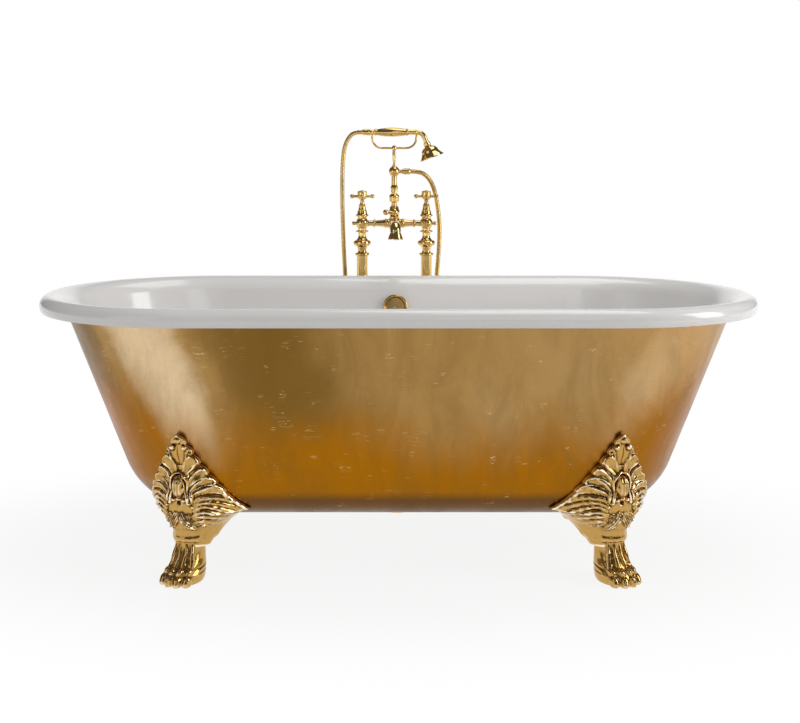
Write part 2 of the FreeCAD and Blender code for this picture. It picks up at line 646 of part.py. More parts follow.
def ellipsoid(name, wide, deep, high, across, forward, up):
    thing = primitive("Ellipsoid", name, Radius1=high / 2, Radius2=wide / 2, Radius3=deep / 2)
    thing.Angle1, thing.Angle2, thing.Angle3 = -90, 90, 360
    return atFoot(thing, across, forward, up)


footPieces = [atFoot(levelLoft("footLeg", legShares, zero, table.pawHeight, table.pawWidth, table.pawDepth,
                               True))]
for index, (across, forward) in enumerate(toeShares):
    footPieces.append(ellipsoid(f"toe{index}", table.toeWidth, table.toeDepth, table.toeHeight,
                                table.pawWidth * across, table.pawDepth * forward, table.toeHeight / 2))
collar = primitive("Torus", "footCollar", Radius1=table.collarRadius, Radius2=table.collarWire)
footPieces.append(atFoot(collar, up=table.collarHeight))
calfLow = table.pawHeight - table.collarWire
footPieces.append(atFoot(levelLoft("footCalf", calfShares, calfLow, table.calfHeight, table.calfWidth,
                                   table.calfDepth, False, True)))
calfHollow = levelLoft("footHollow", calfShares, calfLow, table.calfHeight - table.tabThickness,
                       table.calfWidth - table.calfWall * 2, table.calfDepth - table.calfWall, False, True)
atFoot(calfHollow, forward=-table.calfWall, up=table.tabThickness * 5 / 3)
tabTop = bossLow
tab = primitive("Box", "footTab", Length=table.tabWidth, Width=table.tabLength, Height=table.tabThickness)
footPieces.append(atFoot(tab, across=-table.tabWidth / 2, up=tabTop - table.tabThickness))
plateHigh = table.plateTop - table.plateTip
for index, (across, rise, forward, share) in enumerate(lobeShares):
    for mirror in (-1, 1):
        footPieces.append(ellipsoid(
            f"lobe{index}{'left' if mirror < 0 else 'right'}", table.lobeWidth * share,
            table.lobeDepth * share,
            table.lobeHeight * share, table.plateWidth * across * mirror,
            table.plateReach * forward - table.plateReach * lobeSlantShare * across * mirror,
            table.plateTip + plateHigh * rise))
footPieces.append(ellipsoid("footEgg", table.eggWidth, table.eggDepth, table.eggHeight, zero,
                            table.plateReach * eggForwardShare, table.plateTip + plateHigh * eggShare))
footPieces.append(ellipsoid("footKnob", table.lobeWidth * knobSizeShare, table.lobeDepth * knobSizeShare,
                            table.lobeHeight * knobSizeShare, zero, table.plateReach * knobForwardShare,
                            table.plateTip + plateHigh * knobShare))
platePrism = newBody("platePrism")
edge = []
for mirror in (1, -1):
    half = table.plateWidth / 2 * mirror
    steps = list(zip(scallopShares, scallopShares[1:]))
    for low, high in steps if mirror > 0 else [(end, start) for start, end in reversed(steps)]:
        middle = (low + high) / 2
        bulge = table.plateWidth * scallopShare
        edge.append((half * middle + bulge * mirror, table.plateTop - plateHigh * middle + bulge / 2,
                     half * high, table.plateTop - plateHigh * high))
    if mirror > 0:
        edge += [(table.plateWaist / 2, table.plateLow), (-table.plateWaist / 2, table.plateLow),
                 (-table.plateWidth / 2, table.plateTip)]
plateSketch = drawRun(sketchOn(platePrism, "plateOutline", "XZ_Plane"), [(zero, table.plateTop)] + edge)
platePad = platePrism.newObject("PartDesign::Pad", "platePad")
platePad.Profile = plateSketch
platePad.Length = float(table.plateReach)
bind(platePad, "Length", table.plateReach)
platePad.Midplane = True
atFoot(platePrism)
plate = combined("Common", "footPlate", plateForm, platePrism)
footHole = primitive("Cylinder", "footHole", Radius=table.boltRadius + table.boltClearance,
                     Height=table.bossHeight * 2)
place(footHole, x=-boltX, y=bathY - boltY, z=bossLow - table.bossHeight)
footShell = combined("Cut", "footShell", fused("footWhole", plate, *footPieces), seatForm)
footRaw = combined("Cut", "footRaw", footShell, calfHollow)
first = combined("Cut", "foot_front_left", footRaw, fused("footTools", bosses[0], footHole))
keep(first, "foot_front_left")


def mirrored(label, source, normal, middle):
    copy = doc.addObject("Part::Mirroring", label)
    copy.Source = source
    copy.Normal = normal
    copy.Base = Vector(0, float(middle), 0)
    bind(copy, "Base.y", middle)
    return keep(copy, label)


mirrored("foot_front_right", first, Vector(1, 0, 0), zero)
backLeft = mirrored("foot_back_left", first, Vector(0, 1, 0), bathY)
mirrored("foot_back_right", backLeft, Vector(1, 0, 0), zero)

bolts, washers = [], []
headTop = tabTop - table.tabThickness - table.washerThickness
for name, endSide, side in footSpots:
    x, y = endSide * boltX, bathY + side * boltY
    shank = primitive("Cylinder", name + "_shank", Radius=table.boltRadius, Height=table.boltLength)
    head = primitive("Prism", name + "_head", Circumradius=table.boltHead / math.sqrt(3),
                     Height=table.boltHeadHeight)
    head.Polygon = 6
    bolt = fused(name + "_bolt", place(shank, x=x, y=y, z=headTop),
                 place(head, x=x, y=y, z=headTop - table.boltHeadHeight))
    bolts.append(bolt)
    disc = primitive("Cylinder", name + "_disc", Radius=table.washerRadius, Height=table.washerThickness)
    eye = primitive("Cylinder", name + "_eye", Radius=table.boltRadius + table.boltClearance,
                    Height=table.washerThickness)
    washers.append(combined("Cut", name + "_washer", place(disc, x=x, y=y, z=headTop),
                            place(eye, x=x, y=y, z=headTop)))


def grouped(label, things):
    group = doc.addObject("Part::Compound", label)
    group.Links = things
    return keep(group, label)


grouped("foot_bolts", bolts)
grouped("foot_washers", washers)

# Waste: flange and gasket inside, gasket, cup, drain pipe and tee below.
upperGasketTop = floorTop + table.gasketThickness
turned("waste_upper_gasket", tube(table.gasketOuter, table.drainRadius, zero, table.gasketThickness),
       y=drainY, z=floorTop)
tailBore = table.tailRadius - table.tailWall
strainerTop = -table.strainerDepth
flange = newBody("waste_flange")
spin(flange, "flangeTurn", [
    (table.stemRadius + table.runningFit, strainerTop), (tailBore, strainerTop),
    (tailBore, -table.strainerDepth / 2), (tailBore + table.tailWall, table.flangeThickness / 2),
    (table.flangeOuter - table.flangeThickness, table.flangeThickness),
    (table.flangeOuter, table.flangeThickness / 2), (table.flangeOuter, zero), (table.tailRadius, zero),
    (table.tailRadius, -table.tailLength), (tailBore, -table.tailLength),
    (tailBore, strainerTop - table.strainerThickness),
    (table.stemRadius + table.runningFit, strainerTop - table.strainerThickness)])
strainer = drawCircle(sketchOn(flange, "strainerHole", "XY_Plane", out=strainerTop), table.strainerCircle,
                      zero, table.strainerHole)
opening = pocket(flange, "strainerPocket", strainer, table.strainerThickness)
pattern(flange, "strainerHoles", [opening], strainerHoles)
keep(place(flange, y=drainY, z=upperGasketTop), "waste_flange")
cupTop = table.baseHeight - table.lowerGasketThickness
turned("waste_lower_gasket", tube(table.cupRadius, table.drainRadius, zero, table.lowerGasketThickness),
       y=drainY, z=cupTop)

teeY = bathY + table.overflowBack


def rod(name, radius, length, x=zero, y=zero, z=zero, turn=None):
    return place(primitive("Cylinder", name, Radius=radius, Height=length), x, y, z, turn)


alongY = Rotation(Vector(1, 0, 0), -90)
pipeBore = table.drainPipeRadius - table.drainPipeWall
pipeRun = teeY - drainY
wasteOuter = fused(
    "wasteOuter", rod("cupOuter", table.cupRadius, table.cupDepth, y=drainY, z=cupTop - table.cupDepth),
    rod("drainPipeOuter", table.drainPipeRadius, pipeRun, y=drainY, z=table.drainPipeHeight, turn=alongY),
    rod("teeOuter", table.teeRadius, table.teeTop - table.teeFoot, y=teeY, z=table.teeFoot),
    rod("outletOuter", table.drainPipeRadius, table.teeFoot - table.outletEnd, y=teeY, z=table.outletEnd))
cupLow = cupTop - table.cupDepth + table.cupWall
wasteInner = fused(
    "wasteInner", rod("cupThroat", table.tailRadius + table.wasteFit, table.cupDepth, y=drainY, z=cupLow),
    rod("drainPipeInner", pipeBore, pipeRun, y=drainY, z=table.drainPipeHeight, turn=alongY),
    rod("teeInner", pipeBore, table.teeTop - table.cupWall - table.outletEnd, y=teeY, z=table.outletEnd),
    rod("teeMouth", table.overflowPipeRadius - table.overflowPipeWall, table.teeTop, y=teeY,
        z=table.teeFoot))
keep(combined("Cut", "waste_body", wasteOuter, wasteInner), "waste_body")

plugLow = upperGasketTop + table.flangeThickness + table.plugGap
turned("waste_plug", domedCap(table.plugRadius, table.plugThickness), y=drainY, z=plugLow)
stemLow = plugLow - table.stemLength
turned("plug_stem", [(zero, zero), (table.stemRadius, zero), (table.stemRadius, table.stemLength),
                     (zero, table.stemLength)],
       y=drainY, z=stemLow)
seal = primitive("Torus", "plug_seal", Radius1=table.sealRadius, Radius2=table.sealWire)
keep(place(seal, y=drainY, z=plugLow - table.sealWire), "plug_seal")

# Overflow: bezel and turning dial inside, elbow, nuts and pipe behind, cable to the plug's stem.
gasketDepth = wallDepth + table.seatGap
ringInner = table.bezelRadius - table.bezelWidth
gasketRing = newBody("overflow_gasket")
spin(gasketRing, "gasketTurn", tube(table.bezelRadius, table.overflowHole, zero, table.overflowGasket))
keep(onOverflow(gasketRing, gasketDepth), "overflow_gasket")
bezelDepth = gasketDepth + table.overflowGasket
bezel = newBody("overflow_bezel")
backWall = table.bezelThickness - table.dialThickness
spin(bezel, "bezelTurn", [
    (table.dialShaft + table.runningFit, zero), (table.bezelRadius, zero),
    (table.bezelRadius, table.bezelThickness - table.bezelWidth / 2),
    (table.bezelRadius - table.bezelWidth / 2, table.bezelThickness + table.bezelWidth / 2,
     ringInner, table.bezelThickness - table.bezelWidth / 2),
    (ringInner, backWall), (table.dialShaft + table.runningFit, backWall)])
keep(onOverflow(bezel, bezelDepth), "overflow_bezel")
dialDepth = bezelDepth + backWall + table.dialGap
dial = newBody("overflow_dial")
spin(dial, "dialTurn", [
    (zero, -table.dialShaftLength), (table.dialShaft, -table.dialShaftLength), (table.dialShaft, zero),
    (table.dialRadius, zero), (table.dialRadius, table.dialThickness / 2),
    (table.dialRadius - table.dialThickness / 2, table.dialThickness), (zero, table.dialThickness)])
keep(onOverflow(dial, dialDepth), "overflow_dial")
screw = newBody("overflow_screw")
spin(screw, "screwTurn", domedCap(table.dialScrewRadius, table.dialScrewHeight))
keep(onOverflow(screw, dialDepth + table.dialThickness), "overflow_screw")

barrel = onOverflow(primitive("Cylinder", "elbowBarrel", Radius=table.elbowRadius,
                              Height=table.elbowLength),
                    -table.elbowLength)
barrelHollow = onOverflow(primitive("Cylinder", "elbowHollow", Radius=table.elbowRadius - table.elbowWall,
                                    Height=table.elbowLength), table.elbowWall - table.elbowLength)
dropTop = table.overflowHeight - table.elbowRadius / 2
dropLow = table.overflowHeight - table.elbowRadius * 2
overflowBore = table.overflowPipeRadius - table.overflowPipeWall
drop = rod("elbowDrop", table.nutRadius, dropTop - dropLow, y=teeY, z=dropLow)
dropHollow = rod("elbowDropBore", overflowBore, dropTop - dropLow, y=teeY, z=dropLow)
keep(combined("Cut", "overflow_elbow", fused("elbowWhole", barrel, drop),
              fused("elbowTools", barrelHollow, dropHollow)),
     "overflow_elbow")
turned("overflow_pipe", tube(table.overflowPipeRadius, overflowBore, table.teeTop, dropLow), y=teeY)
nutBore = table.overflowPipeRadius + table.wasteFit
pipeNuts = []
for name, low in (("lowerNut", table.teeTop), ("upperNut", dropLow - table.nutHeight)):
    block = primitive("Prism", name + "Block", Circumradius=table.nutRadius * 2 / math.sqrt(3),
                      Height=table.nutHeight)
    block.Polygon = 6
    eye = rod(name + "Eye", nutBore, table.nutHeight, y=teeY, z=low)
    pipeNuts.append(combined("Cut", name, place(block, y=teeY, z=low), eye))
grouped("overflow_nuts", pipeNuts)

cable = newBody("lift_cable")
bend = table.cableBend
half = asSize(math.sqrt(0.5))
cableTop = table.overflowHeight - table.elbowRadius
cableEnd = stemLow - table.plugGap
cableLow = table.drainPipeHeight
reach = teeY - drainY
cableSpine = drawRun(sketchOn(cable, "cableSpine", "YZ_Plane"), [
    (reach, cableTop), (reach, cableLow + bend),
    (reach - bend + bend * half, cableLow + bend - bend * half, reach - bend, cableLow), (bend, cableLow),
    (bend - bend * half, cableLow + bend - bend * half, zero, cableLow + bend), (zero, cableEnd)],
                     closed=False)
cableRound = drawCircle(sketchOn(cable, "cableRound", "XY_Plane", out=cableTop), zero, reach,
                        table.cableRadius)
doc.recompute()
pipe(cable, "cableSweep", cableSpine, cableRound)
keep(place(cable, y=drainY), "lift_cable")

# Mixer: the same column on both sides, hot to the left of someone facing it from the bath.
pipeBoreRadius = table.pipeRadius - table.pipeWall
valveLow = table.pipeHeight + table.pillarHeight
valveAxis = valveLow + table.valveCentre
bonnetLow = valveLow + table.valveHeight
hubLow = bonnetLow + table.bonnetHeight + table.handleGap
halfSpacing = table.pillarSpacing / 2
spindleHole = table.spindleRadius + table.runningFit
armLength = halfSpacing - table.valveStubLength - table.bodyReach
checkCaps = []


for side, sign in (("hot", -1), ("cold", 1)):
    x = halfSpacing * sign
    outward = None if sign > 0 else Rotation(upAxis, 180)

    disc = newBody(side + "_floor_flange")
    spin(disc, side + "FlangeTurn",
         hollowed(scaled(flangeShares, table.floorFlangeRadius, table.floorFlangeHeight),
                  table.pipeRadius + table.pipeFit))
    screwHole = drawCircle(sketchOn(disc, side + "FlangeHole", "XY_Plane"), table.flangeHoleCircle, zero,
                           table.flangeHole)
    drilled = pocket(disc, side + "FlangePocket", screwHole, table.floorFlangeHeight, True)
    pattern(disc, side + "FlangeHoles", [drilled], flangeHoles)
    keep(place(disc, x, mixerY, zero, outward), side + "_floor_flange")

    turned(side + "_standpipe", [
        (table.supplyBore, zero), (table.pipeRadius, zero), (table.pipeRadius, table.pipeHeight),
        (pipeBoreRadius, table.pipeHeight), (pipeBoreRadius, table.supplyDepth),
        (table.supplyBore, table.supplyDepth)],
        x, mixerY)
    turned(side + "_pillar",
           hollowed(scaled(pillarShares, table.bulbRadius, table.pillarHeight), table.waterway),
           x, mixerY, table.pipeHeight)

    valve = newBody(side + "_valve_body")
    spin(valve, side + "ValveTurn",
         hollowed(scaled(valveShares, table.valveRadius, table.valveHeight), table.waterway))
    centre = table.valveCentre
    spin(valve, side + "ValveInner", [
        (-table.valveStubLength, zero), (-table.valveStubLength, table.valveStubRadius),
        (-table.waterway, table.valveStubRadius), (-table.waterway, zero)], axis="H_Axis", up=centre)
    spin(valve, side + "ValveOuter", [
        (table.waterway, zero), (table.waterway, table.capStubRadius),
        (table.capStubLength, table.capStubRadius),
        (table.capStubLength, zero)], axis="H_Axis", up=centre)
    spin(valve, side + "ValveBore", [
        (-table.valveStubLength, zero), (-table.valveStubLength, table.armBore), (zero, table.armBore),
        (zero, zero)],
        axis="H_Axis", kind="Groove", up=centre)
    keep(place(valve, x, mixerY, valveLow, outward), side + "_valve_body")

    cap = newBody(side + "CheckCap")
    spin(cap, side + "CapTurn", [
        (zero, zero), (table.capStubRadius, zero), (table.checkCapRadius, table.checkCapLength / 4),
        (table.checkCapRadius, table.checkCapLength * 3 / 4), (table.capStubRadius, table.checkCapLength),
        (zero, table.checkCapLength)])
    checkCaps.append(place(cap, x + table.capStubLength * sign, mixerY, valveAxis,
                           alongX if sign > 0 else alongMinusX))

    bonnet = scaled(bonnetShares, table.bonnetRadius, table.bonnetHeight)
    wide = table.cartridgeRadius + table.cartridgeFit
    turned(side + "_bonnet",
           bonnet + [(spindleHole, table.bonnetHeight), (spindleHole, table.cartridgeRise),
                     (wide, table.cartridgeRise), (wide, zero)], x, mixerY, bonnetLow)
    turned(side + "_cartridge",
           tube(table.cartridgeRadius, spindleHole, zero, table.cartridgeRise + table.cartridgeDrop),
           x, mixerY, bonnetLow - table.cartridgeDrop)
    spindleLow = bonnetLow - table.spindleDrop
    spindleTop = hubLow + table.spindleSocket
    turned(side + "_spindle",
           [(zero, zero), (table.spindleRadius, zero), (table.spindleRadius, spindleTop - spindleLow),
            (zero, spindleTop - spindleLow)], x, mixerY, spindleLow)

    handle = newBody(side + "_cross_handle")
    hub = scaled(hubShares, table.hubRadius, table.hubHeight)
    spin(handle, side + "HubTurn", hub + [(zero, table.hubHeight), (zero, table.spindleSocket),
                                          (spindleHole, table.spindleSocket), (spindleHole, zero)])
    arm = spin(handle, side + "Arm", [
        (table.hubRadius / 2, zero), (table.hubRadius / 2, table.armRadius),
        (table.hubRadius, table.armRadius)]
        + ballEnd(table.armReach, table.armBall, 1), axis="H_Axis", up=table.armHeight)
    doc.recompute()
    pattern(handle, side + "Arms", [arm], handleArms)
    keep(place(handle, x, mixerY, hubLow), side + "_cross_handle")
    turned(side + "_index_cap", domedCap(table.indexCapRadius, table.indexCapHeight),
           x, mixerY, hubLow + table.hubHeight)

    turned(side + "_bridge_arm",
           hollowed(scaled(bridgeShares, table.bridgeArmRadius, armLength), table.armBore),
           (halfSpacing - table.valveStubLength) * sign, mixerY, valveAxis,
           alongMinusX if sign > 0 else alongX)
grouped("check_caps", checkCaps)

# Middle of the bridge: hub with the spout in front and the diverter above.
bodyLow = valveAxis - table.bodyDrop
hub = newBody("mixer_body")
spin(hub, "bodyTurn", hollowed(scaled(bodyShares, table.bodyRadius, table.bodyHeight), asSize(zero)))
crossRadius = table.bridgeArmRadius * bridgeShares[-1][0]
spin(hub, "bodyCross",
     [(-table.bodyReach, zero), (-table.bodyReach, crossRadius), (table.bodyReach, crossRadius),
      (table.bodyReach, zero)], axis="H_Axis", up=table.bodyDrop)
spin(hub, "bodyFront",
     [(-table.frontBoss, zero), (-table.frontBoss, table.frontBossRadius), (zero, table.frontBossRadius),
      (zero, zero)], role="YZ_Plane", axis="H_Axis", up=table.bodyDrop)
spin(hub, "bodyCrossBore",
     [(-table.bodyReach, zero), (-table.bodyReach, table.armBore), (table.bodyReach, table.armBore),
      (table.bodyReach, zero)], axis="H_Axis", kind="Groove", up=table.bodyDrop)
spoutBore = table.spoutRadius - table.spoutWall
spin(hub, "bodyFrontBore",
     [(-table.frontBoss, zero), (-table.frontBoss, spoutBore), (zero, spoutBore), (zero, zero)],
     role="YZ_Plane", axis="H_Axis", kind="Groove", up=table.bodyDrop)
spin(hub, "bodyTopBore",
     [(zero, table.bodyDrop), (table.riserBore, table.bodyDrop), (table.riserBore, table.bodyHeight),
      (zero, table.bodyHeight)], kind="Groove")
keep(place(hub, y=mixerY, z=bodyLow), "mixer_body")

spout = newBody("spout")
spoutEnd = -table.spoutRun - table.spoutBend
spoutSpine = drawRun(sketchOn(spout, "spoutSpine", "YZ_Plane"), [
    (zero, zero), (-table.spoutRun, zero),
    (-table.spoutRun - table.spoutBend * half, table.spoutBend * half - table.spoutBend, spoutEnd,
     -table.spoutBend)],
    closed=False)
spoutRound = drawCircle(sketchOn(spout, "spoutRound", "XZ_Plane"), zero, zero, table.spoutRadius)
boreRound = drawCircle(sketchOn(spout, "spoutBoreRound", "XZ_Plane"), zero, zero, spoutBore)
doc.recompute()
pipe(spout, "spoutSweep", spoutSpine, spoutRound)
bellTop = -table.spoutBend
bellLow = bellTop - table.bellHeight
bellMid = bellTop - table.bellHeight / 2
bellWaist = table.spoutRadius + (table.bellRadius - table.spoutRadius) * bellWaistShare
spin(spout, "spoutBell", [
    (zero, bellTop), (table.spoutRadius, bellTop),
    (bellWaist, bellMid, table.bellRadius, bellLow + table.spoutWall),
    (table.bellRadius, bellLow), (zero, bellLow)], out=-spoutEnd)
doc.recompute()
pipe(spout, "spoutBore", spoutSpine, boreRound, "SubtractivePipe")
spin(spout, "spoutMouth", [
    (zero, bellTop), (spoutBore, bellTop),
    (bellWaist - table.spoutWall, bellMid, table.bellRadius - table.spoutWall, bellLow), (zero, bellLow)],
    kind="Groove", out=-spoutEnd)
keep(place(spout, y=mixerY - table.frontBoss, z=valveAxis), "spout")

diverterLow = bodyLow + table.bodyHeight
diverter = newBody("diverter_housing")
spin(diverter, "diverterTurn",
     hollowed(scaled(diverterShares, table.diverterRadius, table.diverterHeight), table.riserBore))
faceRound = table.diverterFace - table.leverShaftLength
spin(diverter, "diverterFront", [
    (-table.diverterFace, zero), (-table.diverterFace, table.leverHub),
    (-faceRound, table.diverterFaceRadius),
    (-table.riserBore, table.diverterFaceRadius), (-table.riserBore, zero)], role="YZ_Plane", axis="H_Axis",
    up=table.diverterAxis)
leverBore = table.leverShaft + table.runningFit
spin(diverter, "leverBore", [
    (-table.diverterFace, zero), (-table.diverterFace, leverBore), (-table.riserBore, leverBore),
    (-table.riserBore, zero)], role="YZ_Plane", axis="H_Axis", kind="Groove", up=table.diverterAxis)
keep(place(diverter, y=mixerY, z=diverterLow), "diverter_housing")

lever = newBody("diverter_lever")
spin(lever, "leverTurn", [
    (zero, -table.leverShaftLength), (table.leverShaft, -table.leverShaftLength), (table.leverShaft, zero),
    (table.leverHub, zero)] + dome(table.leverHub, table.leverHubThickness / 2, table.leverHubThickness))
spin(lever, "leverArm",
     [(zero, zero), (zero, table.leverRadius / 2)] + ballEnd(-table.leverLength, table.leverBall, -1),
     axis="H_Axis", up=table.leverHubThickness / 2)
keep(place(lever, y=mixerY - table.diverterFace - table.leverGap, z=diverterLow + table.diverterAxis,
           turn=alongMinusY),
     "diverter_lever")

# Riser, ball with the hose outlet, and the cradle of bent wire.
riserNutLow = diverterLow + table.diverterHeight
riserLow = riserNutLow + table.riserNutHeight
ballLow = riserLow + table.riserHeight
ballAxis = ballLow + table.ballCentre
stemBase = ballLow + table.ballHeight
wireAxis = stemBase + table.stemHeight
handsetAxis = wireAxis + table.handsetRise
turned("riser_nut",
       hollowed(scaled(riserNutShares, table.riserNutRadius, table.riserNutHeight), table.riserBore),
       y=mixerY, z=riserNutLow)
turned("riser_tube", hollowed(scaled(riserShares, table.riserRadius, table.riserHeight), table.riserBore),
       y=mixerY, z=riserLow)
ball = newBody("riser_ball")
spin(ball, "ballTurn", hollowed(scaled(ballShares, table.ballRadius, table.ballHeight), asSize(zero)))
outlet = [(along, across) for across, along in scaled(outletShares, table.outletRadius, table.outletReach)]
spin(ball, "ballOutlet",
     [(table.riserBore, zero), (table.riserBore, outlet[0][1])] + outlet + [(table.outletReach, zero)],
     axis="H_Axis", up=table.ballCentre)
spin(ball, "ballBore",
     [(zero, zero), (table.riserBore, zero), (table.riserBore, table.ballCentre), (zero, table.ballCentre)],
     kind="Groove")
spin(ball, "ballOutletBore",
     [(zero, zero), (zero, table.hoseBore), (table.outletReach, table.hoseBore), (table.outletReach, zero)],
     axis="H_Axis", kind="Groove", up=table.ballCentre)
keep(place(ball, y=mixerY, z=ballLow), "riser_ball")

cradle = newBody("cradle")
stemRows = scaled(cradleShares, table.cradleStem, table.stemHeight)
stemRows += dome(stemRows[-1][-2], stemRows[-1][-1], table.stemHeight * cradleTopShare)[1:]
spin(cradle, "cradleStem", stemRows + [(zero, zero)])
saddleRadius = table.handsetTube + table.saddleGap + table.wireRadius
saddleAxis = table.stemHeight + table.handsetRise
saddleLow = saddleAxis - saddleRadius
wireLow = table.stemHeight
corner = table.wireCorner
cornerIn = corner - corner * half
wireSpine = drawRun(sketchOn(cradle, "wireSpine", "XZ_Plane"), [
    (-table.saddleHalf, saddleLow), (-table.saddleHalf, wireLow + corner),
    (-table.saddleHalf + cornerIn, wireLow + cornerIn, -table.saddleHalf + corner, wireLow),
    (table.saddleHalf - corner, wireLow),
    (table.saddleHalf - cornerIn, wireLow + cornerIn, table.saddleHalf, wireLow + corner),
    (table.saddleHalf, saddleLow)],
    closed=False)
wireRound = drawCircle(sketchOn(cradle, "wireRound", "XY_Plane", out=saddleLow), -table.saddleHalf, zero,
                       table.wireRadius)
saddles = []
for name, spotX in (("leftSaddle", -table.saddleHalf), ("rightSaddle", table.saddleHalf)):
    prongTop = saddleAxis + table.prongHeight
    spine = drawRun(sketchOn(cradle, name + "Spine", "YZ_Plane", out=spotX), [
        (-saddleRadius, prongTop), (-saddleRadius, saddleAxis), (zero, saddleLow, saddleRadius, saddleAxis),
        (saddleRadius, prongTop)], closed=False)
    section = drawCircle(sketchOn(cradle, name + "Round", "XY_Plane", out=prongTop), spotX, -saddleRadius,
                         table.wireRadius)
    saddles.append((name, spine, section))
doc.recompute()
pipe(cradle, "wireSweep", wireSpine, wireRound)
for name, spine, section in saddles:
    pipe(cradle, name, spine, section)
keep(place(cradle, y=mixerY, z=stemBase), "cradle")

# Handset: grip with its tail, bent neck, and rose with a drilled plate.
tail = table.tailEnd - table.gripStart
grip = [(table.tailRing, zero), (table.tailRing, tail * tailShare), (table.handsetTube, tail * tailShare),
        (table.handsetTube, tail)]
for row in scaled(gripShares, table.gripRadius, table.gripLength):
    grip.append(tuple(size + tail if index % 2 else size for index, size in enumerate(row)))
turned("handset_grip", hollowed(grip, table.handsetBore), -table.tailEnd, mixerY, handsetAxis, alongX)

neck = newBody("handset_neck")
tilt = table.neckTilt
bendEnd = (table.neckBend + table.neckRadius * sine(tilt),
           table.neckRadius * cosine(tilt) - table.neckRadius)
bendMid = (table.neckBend + table.neckRadius * sine(tilt / 2),
           table.neckRadius * cosine(tilt / 2) - table.neckRadius)
neckEnd = (bendEnd[0] + table.neckRun * cosine(tilt), bendEnd[1] - table.neckRun * sine(tilt))
neckSpine = drawRun(sketchOn(neck, "neckSpine", "XZ_Plane"), [
    (table.neckStart, zero), (table.neckBend, zero), bendMid + bendEnd, neckEnd], closed=False)
neckRound = drawCircle(sketchOn(neck, "neckRound", "YZ_Plane", out=table.neckStart), zero, zero,
                       table.handsetTube)
neckBore = drawCircle(sketchOn(neck, "neckBore", "YZ_Plane", out=table.neckStart), zero, zero,
                      table.handsetBore)
doc.recompute()
pipe(neck, "neckSweep", neckSpine, neckRound)
doc.recompute()
pipe(neck, "neckWay", neckSpine, neckBore, "SubtractivePipe")
keep(place(neck, y=mixerY, z=handsetAxis), "handset_neck")

roseTilt = tilt + 90
roseAt = dict(x=neckEnd[0], y=mixerY, z=handsetAxis + neckEnd[1],
              turn=Rotation(Vector(0, 1, 0), float(roseTilt)),
              angle=roseTilt)
roseHollow = scaled(roseHollowShares, table.roseRadius, table.roseHeight)
turned("shower_rose", scaled(roseShares, table.roseRadius, table.roseHeight) + roseHollow
       + [(table.handsetBore, roseHollow[-1][-1]), (table.handsetBore, zero)], **roseAt)
sieve = newBody("rose_plate")
ledge = table.roseHeight * roseHollowShares[1][1]
spin(sieve, "sieveTurn",
     [(zero, ledge), (table.rosePlateRadius, ledge), (table.rosePlateRadius, table.roseHeight),
      (zero, table.roseHeight)])
smallRing = drawCircle(sketchOn(sieve, "sieveSmallHole", "XY_Plane", out=table.roseHeight),
                       table.roseRingSmall, zero, table.roseHole)
largeRing = drawCircle(sketchOn(sieve, "sieveLargeHole", "XY_Plane", out=table.roseHeight),
                       table.roseRingLarge, zero, table.roseHole)
smallHole = pocket(sieve, "sieveSmall", smallRing, table.roseHeight - ledge)
pattern(sieve, "sieveSmallHoles", [smallHole], smallHoles)
largeHole = pocket(sieve, "sieveLarge", largeRing, table.roseHeight - ledge)
pattern(sieve, "sieveLargeHoles", [largeHole], largeHoles)
keep(place(sieve, **roseAt), "rose_plate")

turned("hose_nut_outlet",
       hollowed(scaled(hoseNutShares, table.hoseNutRadius, table.outletNutLength), table.hoseBore),
       table.outletReach, mixerY, ballAxis, alongX)
turned("hose_nut_handset",
       hollowed(scaled(hoseNutShares, table.hoseNutRadius, table.handsetNutLength), table.hoseBore),
       -table.tailEnd, mixerY, handsetAxis, alongMinusX)

# Hose: straight runs joined by arcs as large as the runs allow, from the outlet down behind the
# pillars and up to the handset.
outletEnd = Vector(float(table.outletReach + table.outletNutLength), float(mixerY), float(ballAxis))
handsetEnd = Vector(-float(table.tailEnd + table.handsetNutLength), float(mixerY), float(handsetAxis))
route = [outletEnd] + [outletEnd + Vector(*step) for step in hoseFromOutlet]
route += [handsetEnd + Vector(*step) for step in reversed(hoseFromHandset)] + [handsetEnd]


def roundedRun(points):
    """Lines and tangent arcs along a route, with the radius of each arc."""
    edges, radii = [], []
    last = points[0]
    for before, here, after in zip(points, points[1:], points[2:]):
        inward, outward = (here - before), (after - here)
        turn = inward.getAngle(outward)
        cut = arcShare * min(inward.Length, outward.Length)
        radii.append(cut / math.tan(turn / 2))
        start = here - inward.normalize() * cut
        end = here + outward.normalize() * cut
        toCentre = (outward - inward).normalize()
        rise = radii[-1] / math.cos(turn / 2) - radii[-1]
        middle = here + toCentre * rise
        edges.append(Part.LineSegment(last, start).toShape())
        edges.append(Part.Arc(start, middle, end).toShape())
        last = end
    edges.append(Part.LineSegment(last, points[-1]).toShape())
    return edges, radii


hoseEdges, hoseRadii = roundedRun(route)
hoseLength = sum(edge.Length for edge in hoseEdges)
print("hose length", round(hoseLength, 1), "radii", [round(radius) for radius in hoseRadii])


def hoseSpot(distance):
    """The place and direction on the hose's centre line at a distance from the outlet."""
    for edge in hoseEdges:
        if distance <= edge.Length or edge is hoseEdges[-1]:
            along = edge.getParameterByLength(min(distance, edge.Length))
            return edge.valueAt(along), edge.tangentAt(along)
        distance -= edge.Length


def ringAt(distance, radius):
    centre, along = hoseSpot(distance)
    across = Vector(0, 1, 0)
    steady = (across - along * across.dot(along)).normalize()
    frame = Rotation(steady, along.cross(steady), along, "XZY")
    edge = Part.Circle(Vector(), upAxis, radius).toShape()
    edge.Placement = Placement(centre, frame)
    return Part.Wire([edge])


